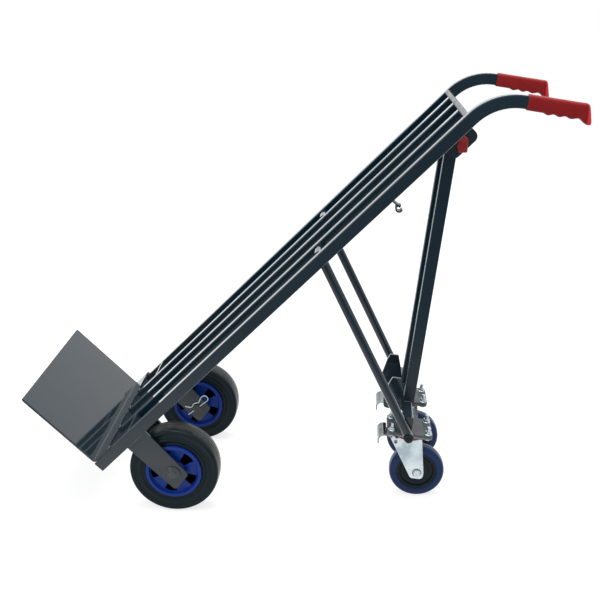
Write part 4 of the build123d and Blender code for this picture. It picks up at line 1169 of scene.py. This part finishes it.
@dataclass
class MainWheel:
    """One running wheel: ribbed tyre, near-black window liners that paint the shade deep in the windows, and
    a dimpled axle head.
    """

    hand: Hand
    finishes: Finishes
    radius: float = 100.0
    half_width: float = 27.0
    seat_half_width: float = 23.0
    seat_radius: float = 58.5
    lip_radius: float = 62.0
    groove_at: float = 4.6
    groove_depth: float = 1.4
    rib_rounding: float = 0.35
    windows: int = 5
    window_turn: float = 44.0
    window_half_angle: float = 15.7
    window_radii: Point = (26.3, 50.8)
    window_bow: float = 1.5
    window_corner: float = 1.2
    liner_floor: float = 1.6
    liner_deep: float = 19.6
    liner_wall: float = 0.5
    head_face: float = 209.5
    head: Profile = (
        (-1, 0), (-1, 8.2), (0.5, 8.2), (0.9, 7.6), (0.9, 6.2), (0.3, 5.6), (0.3, 3.0), (0.9, 2.0), (1.0, 0),
    )
    head_rounding: float = 0.2

    @property
    def body(self) -> str:
        """CAD body of the wheel."""
        return f"wheel_{self.hand.word}"

    def tyre_section(self) -> list[Point]:
        """Outline of the tyre: each half runs from the rim to the crown.

        Returns:
            Axial and radial distances, millimetres.
        """
        w, r, lip = self.half_width, self.radius, self.lip_radius
        spot, low = self.groove_at, r - self.groove_depth
        seat = [
            (self.seat_half_width, self.seat_radius), (self.seat_half_width, lip + 0.6),
            (w - 3.1, lip + 2.4), (w - 3.3, lip + 6), (w - 2.6, lip + 9),
        ]
        ribs = [
            (w - 0.9, lip + 11.2), (w - 0.2, lip + 12.6), (w - 0.2, lip + 14.4), (w - 1.6, lip + 16),
            (w - 2.2, lip + 18), (w - 2.3, lip + 22), (w - 1.6, lip + 26), (w - 0.5, r - 9.6),
        ]
        shoulder = [
            (w, r - 8.4), (w, r - 6.6), (w - 0.7, r - 4.6), (w - 2.7, r - 2.5), (w - 5.6, r - 1.5),
            (w - 9, r - 1.1), (w - 18, r - 0.2),
        ]
        groove = [(spot + 0.9, r), (spot + 0.4, low), (spot - 0.4, low), (spot - 0.9, r)]
        return both_ways(seat + ribs + shoulder + groove)

    def window(self, turn: float, centre: Vector) -> list[Vector]:
        """Outline of one window.

        Args:
            turn: angle of its middle about the axle, degrees.
            centre: point on the axle.

        Returns:
            Its corners, in order.
        """
        inner, outer = self.window_radii
        bow = outer + self.window_bow
        points = []
        for reach, side in ((inner, -1), (outer, -1), (bow, 0), (outer, 1), (inner, 1)):
            angle = math.radians(turn + side * self.window_half_angle)
            points.append(centre + Vector((math.cos(angle), 0, math.sin(angle))) * reach * MM)
        return points

    def build(self) -> None:
        """Make the tyre, the window liners of painted shade and the head's dimple."""
        word = self.hand.word
        centre = middle(f"wheel_tyre_{word}")
        tyre = Shape()
        tyre.turned(self.tyre_section(), centre, ACROSS, self.rib_rounding, steps=128)
        tyre.piece(f"ribbed_tyre_{word}", self.body, Slot.TYRE, self.finishes.tyre, [f"wheel_tyre_{word}"])
        # Near-black cups in the window pockets: painted shade.
        liners = Shape()
        for side in SIDES:
            spot = centre + ACROSS * side * self.liner_floor * MM
            depth = ACROSS * side * self.liner_deep * MM
            for k in range(self.windows):
                outline = self.window(self.window_turn + 360 * k / self.windows, spot)
                liners.cup(outline, depth, self.window_corner, self.liner_wall)
        liners.piece(f"window_shade_liners_{word}", self.body, Slot.HUB, self.finishes.shade)
        head = Shape()
        spot = Vector((centre.x, self.hand.value * self.head_face * MM, centre.z))
        head.turned(self.head, spot, ACROSS * self.hand.value, self.head_rounding, steps=48)
        head.piece(f"axle_dimple_{word}", "frame", Slot.PAINT, self.finishes.weld_paint_painted_highlight)


@dataclass
class HandGrip:
    """Vinyl grip with finger waves and a dropped end lip."""

    hand: Hand
    finishes: Finishes
    start: Point = (450.57, 908.05)
    drop: float = math.radians(8.5)
    first: float = 5.0
    length: float = 112.5
    half_width: float = 13.0
    top: float = 14.6
    under: float = 14.6
    wave: float = 3.0
    waves: int = 3
    wave_start: float = 0.27
    wave_share: float = 0.19
    lip: float = 9.0
    lip_flat: float = 6.0
    lean: float = 0.32
    lean_from: float = 30.0
    squareness: float = 4.5
    ring_points: int = 40
    pitch: float = 1.5
    mouth: Profile = ((0.0, 1.6), (0.5, 0.5), (1.4, 0.0), (2.6, 0.0))
    flange: Profile = (
        (8.6, 0.0), (8.0, 0.7), (7.4, 0.7), (6.8, -0.3), (3.2, -0.3), (1.7, 0.3), (0.6, 1.5), (0.0, 3.2),
    )
    flange_room: float = 12.0

    def underside(self, s: float) -> float:
        """Depth of the underside at a distance along the grip.

        Args:
            s: distance along the grip, millimetres.

        Returns:
            The depth, millimetres.
        """
        depth = self.under
        phase = (s / self.length - self.wave_start) / self.wave_share
        if 0 < phase < self.waves:
            depth += self.wave * math.sin(math.pi * phase) ** 2
        rise = (s - self.length + 2 * self.lip) / (2 * self.lip - self.lip_flat)
        if rise > 0:
            blend = min(rise, 1.0)
            depth += self.lip * blend * blend * (3 - 2 * blend)
        return depth

    def leaned(self, s: float, lift: float) -> float:
        """How far a point near the end moves on, so that the end leans out at its lip."""
        share = max(0.0, 1 + (s - self.length) / self.lean_from)
        return share * (self.top - lift) * self.lean

    def stations(self) -> list[Point]:
        """Distances along the grip with how far the section is drawn in there.

        Returns:
            Pairs of distances, millimetres.
        """
        mouth_end = self.mouth[-1][0]
        steps = range(1, int((self.length - self.flange_room) / self.pitch))
        run = [(mouth_end + k * self.pitch, 0.0) for k in steps]
        return [*self.mouth, *run, *((self.length - back, inset) for back, inset in self.flange)]

    def build(self) -> None:
        """Draw one section and pull it along the handle."""
        word = self.hand.word
        shape = Shape()
        run = Vector((math.cos(self.drop), 0, -math.sin(self.drop)))
        rise = Vector((math.sin(self.drop), 0, math.cos(self.drop)))
        origin = Vector((self.start[0] * MM, middle(f"grip_{word}").y, self.start[1] * MM))
        power = 2 / self.squareness
        ring = bmesh.ops.create_circle(shape.bm, cap_ends=False, segments=self.ring_points,
                                       radius=1.0)["verts"]
        angles = [math.atan2(v.co.y, v.co.x) for v in ring]
        capped(shape.bm, ring)
        for step, (s, inset) in enumerate(self.stations()):
            if step:
                ring = pulled(shape.bm, ring)
            for v, angle in zip(ring, angles):
                c, sn = math.cos(angle), math.sin(angle)
                across = (self.half_width - inset) * math.copysign(abs(c) ** power, c)
                reach = self.top if sn > 0 else self.underside(s)
                lift = (reach - inset) * math.copysign(abs(sn) ** power, sn)
                along = self.first + s + self.leaned(s, lift)
                v.co = origin + (run * along + ACROSS * across + rise * lift) * MM
        capped(shape.bm, ring)
        shape.piece(f"vinyl_grip_{word}", "frame", Slot.GRIP, self.finishes.grip, [f"grip_{word}"], sharp=60)


@dataclass
class Castor:
    """One castor's turned wheel, nut washers with near-black rings of painted shade round them, rivets, and
    the bolts that hold it to the mount.
    """

    hand: Hand
    finishes: Finishes
    aside: float = 83.0
    swivel_x: float = 274.573
    roll: Point = (306.273, 66.084)
    radius: float = 62.5
    half_width: float = 16.0
    hub_radius: float = 46.0
    hub_rounding: float = 0.4
    cheek_face: float = 21.0
    washer: Profile = ((-0.2, 5), (-0.2, 9), (0.9, 9), (1.3, 8.4), (1.3, 5))
    # Thin near-black ring round each washer: painted shade in the gap.
    shade_ring: Profile = ((-0.2, 8.8), (-0.2, 10.4), (0.35, 10.4), (0.5, 8.8))
    rivet: Profile = ((-0.2, 0), (-0.2, 3.6), (1.0, 3.5), (1.9, 2.6), (2.4, 1.2), (2.5, 0))
    rivets: Profile = ((248.2, 150.6), (247.573, 138.0))
    bolt_reach: Point = (40.0, 30.0)
    mount_top: float = 172.0
    bolt_top: float = 189.0
    nut_height: float = 7.0
    nut_radius: float = 7.5
    nut_ease: float = 0.8
    nut_flange: Profile = ((0, 5), (0, 9.4), (0.8, 9.4), (1.9, 7.6), (1.9, 5))
    coil_step: float = 0.3
    coil_radii: Point = (3.75, 4.25)
    coil_below: float = 0.5
    bolt_tip: float = 3.4
    bolt_proud: float = 0.05

    @property
    def centre(self) -> Vector:
        """Middle of the wheel."""
        return FOOT.at(self.roll[0], self.hand.value * self.aside, self.roll[1])

    def tread_section(self) -> list[Point]:
        """Outline of the rubber, with a moulding line round its crown.

        Returns:
            Axial and radial distances, millimetres.
        """
        w, r, low = self.half_width, self.radius, self.hub_radius
        return both_ways([
            (w - 1.2, low), (w - 0.4, low + 0.4), (w, low + 1.6), (w, r - 9), (w - 0.4, r - 6),
            (w - 1.6, r - 3.4), (w - 3.6, r - 1.5), (w - 6.4, r - 0.5), (w - 9.5, r - 0.1), (0.5, r),
            (0.25, r - 0.3),
        ])

    def hub_section(self) -> list[Point]:
        """Outline of the dished hub with its stepped rim and boss.

        Returns:
            Axial and radial distances, millimetres.
        """
        w, low = self.half_width, self.hub_radius
        boss = [(17.5, 5.2), (17.5, 12.4), (16.9, 13), (9, 14.6), (7, 16.4), (6.4, 19)]
        dish = [(6.4, 26), (7.2, 27), (7.2, 28.4), (6.4, 29.4), (6.4, 34), (8.4, 37)]
        rim = [(12.4, 38.6), (12.8, 39.4), (12.8, 41.2), (w - 1.2, 42.4), (w - 0.6, 44), (w - 0.8, low)]
        return both_ways(boss + dish + rim)

    def wheel(self) -> None:
        """Turn the tread and the hub."""
        word, finishes = self.hand.word, self.finishes
        body = f"castor_wheel_{word}"
        tread = Shape()
        tread.turned(self.tread_section(), self.centre, ACROSS, steps=112)
        tread.piece(f"rolled_tread_{word}", body, Slot.TREAD, finishes.tread, [f"castor_tread_{word}"])
        hub = Shape()
        hub.turned(self.hub_section(), self.centre, ACROSS, self.hub_rounding)
        hub.piece(f"dished_hub_{word}", body, Slot.HUB, finishes.hub, [f"castor_hub_{word}"])

    def fork_trim(self) -> None:
        """Washers under the axle nuts, near-black rings round them that paint the shade in the gap, and rivet
        heads on both cheeks.
        """
        word, side = self.hand.word, self.hand.value * self.aside
        washers, rivets_and_shade_rings = Shape(), Shape()
        for way in SIDES:
            out = ACROSS * way
            face = self.centre + out * self.cheek_face * MM
            washers.turned(self.washer, face, out, rounding=0.2, steps=48)
            # Near-black ring round the washer: painted shade.
            rivets_and_shade_rings.turned(self.shade_ring, face, out, rounding=0.1, steps=48)
            for x, z in self.rivets:
                spot = FOOT.at(x, side + way * self.cheek_face, z)
                rivets_and_shade_rings.turned(self.rivet, spot, out, rounding=0.1, steps=24)
        washers.piece(f"axle_nut_washers_{word}", f"castor_{word}", Slot.ZINC, self.finishes.zinc)
        rivets_and_shade_rings.piece(f"dark_rivets_and_shade_rings_{word}", f"castor_{word}", Slot.HUB, self.finishes.hub)

    def thread_section(self) -> list[Point]:
        """Outline of a bolt end above its nut, from the axis out and back.

        Returns:
            Axial and radial distances, millimetres.
        """
        inner, outer = self.coil_radii
        start = self.nut_height - self.coil_below
        end = self.bolt_top - self.mount_top
        coils = int((end - self.nut_height - 2 * self.coil_step) / self.coil_step)
        section = [(start, 0.0)]
        section += [(start + self.coil_step * k, outer if k % 2 else inner) for k in range(coils)]
        return section + [(end + self.bolt_proud, self.bolt_tip), (end + self.bolt_proud, 0.0)]

    def bolts(self, nuts: Shape, threads: Shape) -> None:
        """Add this castor's flanged nuts and threaded bolt ends.

        Args:
            nuts: mesh that takes the nuts.
            threads: mesh that takes the bolt ends.
        """
        reach_x, reach_y = self.bolt_reach
        middle_y = self.hand.value * self.aside
        for side_x in SIDES:
            for side_y in SIDES:
                x, y = self.swivel_x + side_x * reach_x, middle_y + side_y * reach_y
                spot = FOOT.at(x, y, self.mount_top)
                nuts.prism(6, self.nut_radius, spot, FOOT.up * self.nut_height * MM, self.nut_ease)
                nuts.turned(self.nut_flange, spot, FOOT.up, rounding=0.2, steps=36)
                threads.turned(self.thread_section(), spot, FOOT.up, steps=24)

    def build(self) -> None:
        """Make the wheel and the fork's trim."""
        self.wheel()
        self.fork_trim()


@dataclass
class Latch:
    """Red lever cap, and the keeper that holds the folded stand."""

    finishes: Finishes
    cap_middle: Point = (355.5, 806.6)
    cap_outline: Profile = (
        (-11.4, 2.0), (-7.0, 11.5), (-1.5, 16.8), (6.5, 16.8), (11.4, 10.5), (11.2, -3.0), (10.2, -16.8),
        (-8.4, -16.8),
    )
    cap_face: float = -67.6
    cap_depth: float = 12.0
    cap_corner: float = 3.2
    cap_ease: float = 2.4
    strip_u: float = 844.86
    strip_width: float = 22.0
    strip_thick: float = 3.2
    strip_bend: float = 2.0
    strip_foot: float = 34.0
    strip_inset: float = 1.5
    strip_depths: Point = (-26.5, -60.0)
    eye_radius: float = 5.5
    eye_middle: Point = (-4.5, -85.0)
    eye_steps: int = 11
    eye_turn: float = 30.0

    def cap(self) -> None:
        """Rounded cap outside the left cheek."""
        x, z = self.cap_middle
        shape = Shape()
        outline = [Vector((x + dx, self.cap_face, z + dz)) * MM for dx, dz in self.cap_outline]
        shape.plate(outline, -ACROSS * self.cap_depth * MM, self.cap_corner, self.cap_ease)
        shape.piece("rounded_lever_cap", "lever", Slot.GRIP, self.finishes.cap, ["lever_cap"])

    def keeper(self) -> None:
        """Strip with a rolled eye, behind the middle bar."""
        u, half = self.strip_u, self.strip_width / 2
        near, far = self.strip_depths
        path = [(u - self.strip_foot, near), (u - self.strip_inset, near), (u - self.strip_inset, far)]
        for k in range(self.eye_steps):
            turn = math.radians(180 + self.eye_turn * k)
            path.append((u + self.eye_middle[0] - self.eye_radius * math.cos(turn),
                         self.eye_middle[1] - self.eye_radius * math.sin(turn)))
        shape = Shape()
        edge = [AXES.at(along, -half, n) for along, n in path]
        shape.strip(edge, ACROSS * self.strip_width * MM, self.strip_thick, self.strip_bend)
        shape.piece("keeper_eye", "frame", Slot.PAINT, self.finishes.keeper_paint, ["stow_keeper"])

    def build(self) -> None:
        """Make the cap and the keeper."""
        self.cap()
        self.keeper()


@dataclass
class Welds:
    """Weld beads where the painted steel is joined."""

    finishes: Finishes
    bead: float = 2.2
    thin_bead: float = 1.8
    bars: tuple[float, ...] = (-196.0, -98.0, 0.0, 98.0, 196.0)
    bar_edge: float = 10.2
    bar_depths: Point = (-3.0, -22.0)
    bar_end: float = 1071.6
    bar_end_bead: float = 1.7
    toe_line: Point = (48.0, 1.6)
    toe_half: float = 7.0
    toe_bead: float = 3.4
    flange_ends: Point = (6.0, 43.0)
    flange_depth: float = -0.6
    outermost: float = 200.0
    crossbar_faces: Point = (1082.8, 1071.7)
    wall: float = 185.6
    plates: Point = (201.0, 122.5)
    plate_edge: float = 2.8
    plate_ends: Point = (86.0, 136.0)
    plate_depth: float = -25.4
    cheeks: Point = (67.6, 61.4)
    cheek_ends: Point = (1000.0, 1064.0)
    cheek_depth: float = -30.4
    base_ends: Point = (1002.0, 1062.0)
    base_depth: float = -24.8
    legs: Point = (-47.0, 47.0)
    leg_edge: float = 10.3
    leg_ends: Point = (254.573, 274.573)
    leg_front: float = 255.6
    leg_half: float = 8.0
    leg_foot: float = 218.4
    ear: float = 66.0
    ear_edge: float = 3.2
    ear_back: float = 250.173
    ear_levels: Point = (202.0, 216.0)
    ear_bead: float = 2.0
    beam_edges: Point = (250.173, 274.973)
    beam_half: float = 128.0
    beam_level: float = 172.6
    beam_bead: float = 2.4
    crisp: float = 70.0

    def up_frame(self, shape: Shape, ends: Point, y: float, n: float, radius: float) -> None:
        """Lay a bead up the frame, from one end to the other."""
        shape.bead(AXES.at(ends[0], y, n), AXES.at(ends[1], y, n), radius)

    def through_frame(self, shape: Shape, u: float, y: float, radius: float) -> None:
        """Lay a bead through the depth of the bars."""
        shape.bead(AXES.at(u, y, self.bar_depths[0]), AXES.at(u, y, self.bar_depths[1]), radius)

    def frame(self) -> None:
        """Beads of the ladder frame, the toe plate, the wheel plates and the latch bracket."""
        shape, at = Shape(), AXES.at
        u, n = self.toe_line
        for y in self.bars:
            shape.bead(at(u, y - self.toe_half, n), at(u, y + self.toe_half, n), self.toe_bead)
            for edge in (y - self.bar_edge, y + self.bar_edge):
                if abs(edge) < self.outermost:
                    self.up_frame(shape, self.flange_ends, edge, self.flange_depth, self.thin_bead)
        for way in SIDES:
            for face in self.crossbar_faces:
                self.through_frame(shape, face, way * self.wall, self.bead)
            for plate in self.plates:
                for edge in (plate + self.plate_edge, plate - self.plate_edge):
                    self.up_frame(shape, self.plate_ends, way * edge, self.plate_depth, self.bead)
            for cheek in self.cheeks:
                self.up_frame(shape, self.cheek_ends, way * cheek, self.cheek_depth, self.bead)
        for y in self.bars[1:-1]:
            for edge in (y - self.bar_edge, y + self.bar_edge):
                self.through_frame(shape, self.bar_end, edge, self.bar_end_bead)
                self.up_frame(shape, self.base_ends, edge, self.base_depth, self.thin_bead)
        shape.piece("frame_welds", "frame", Slot.PAINT, self.finishes.weld_paint_painted_highlight, sharp=self.crisp)

    def stand(self) -> None:
        """Beads of the stand: legs on the beam, ears, and the beam on its mount."""
        shape, at, foot, front = Shape(), FOOT.at, self.leg_foot, self.leg_front
        for y in self.legs:
            start, end = self.leg_ends
            for edge in (y - self.leg_edge, y + self.leg_edge):
                shape.bead(at(start, edge, foot), at(end, edge, foot), self.bead)
            shape.bead(at(front, y - self.leg_half, foot), at(front, y + self.leg_half, foot), self.bead)
            low, high = self.ear_levels
            ear = math.copysign(self.ear, y)
            for edge in (ear - self.ear_edge, ear + self.ear_edge):
                shape.bead(at(self.ear_back, edge, low), at(self.ear_back, edge, high), self.ear_bead)
        half, level = self.beam_half, self.beam_level
        for x in self.beam_edges:
            shape.bead(at(x, -half, level), at(x, half, level), self.beam_bead)
        shape.piece("stand_welds", "stand", Slot.PAINT, self.finishes.weld_paint_painted_highlight, sharp=self.crisp)

    def build(self) -> None:
        """Lay every bead."""
        self.frame()
        self.stand()


def main() -> None:
    """Build the truck's pieces in order, then the stage."""
    logging.basicConfig(level=logging.INFO, format="%(name)s: %(message)s")
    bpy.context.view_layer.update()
    finishes = Finishes()
    finishes.dress_nodes()
    nuts, threads = Shape(), Shape()
    for hand in Hand:
        MainWheel(hand, finishes).build()
        HandGrip(hand, finishes).build()
        castor = Castor(hand, finishes)
        castor.build()
        castor.bolts(nuts, threads)
    nuts.piece("flanged_nuts", "stand", Slot.ZINC, finishes.zinc, ["castor_nuts"])
    threads.piece("bolt_threads", "stand", Slot.ZINC, finishes.zinc)
    Latch(finishes).build()
    Welds(finishes).build()
    Stage().build()


if __name__ == "__main__":
    main()
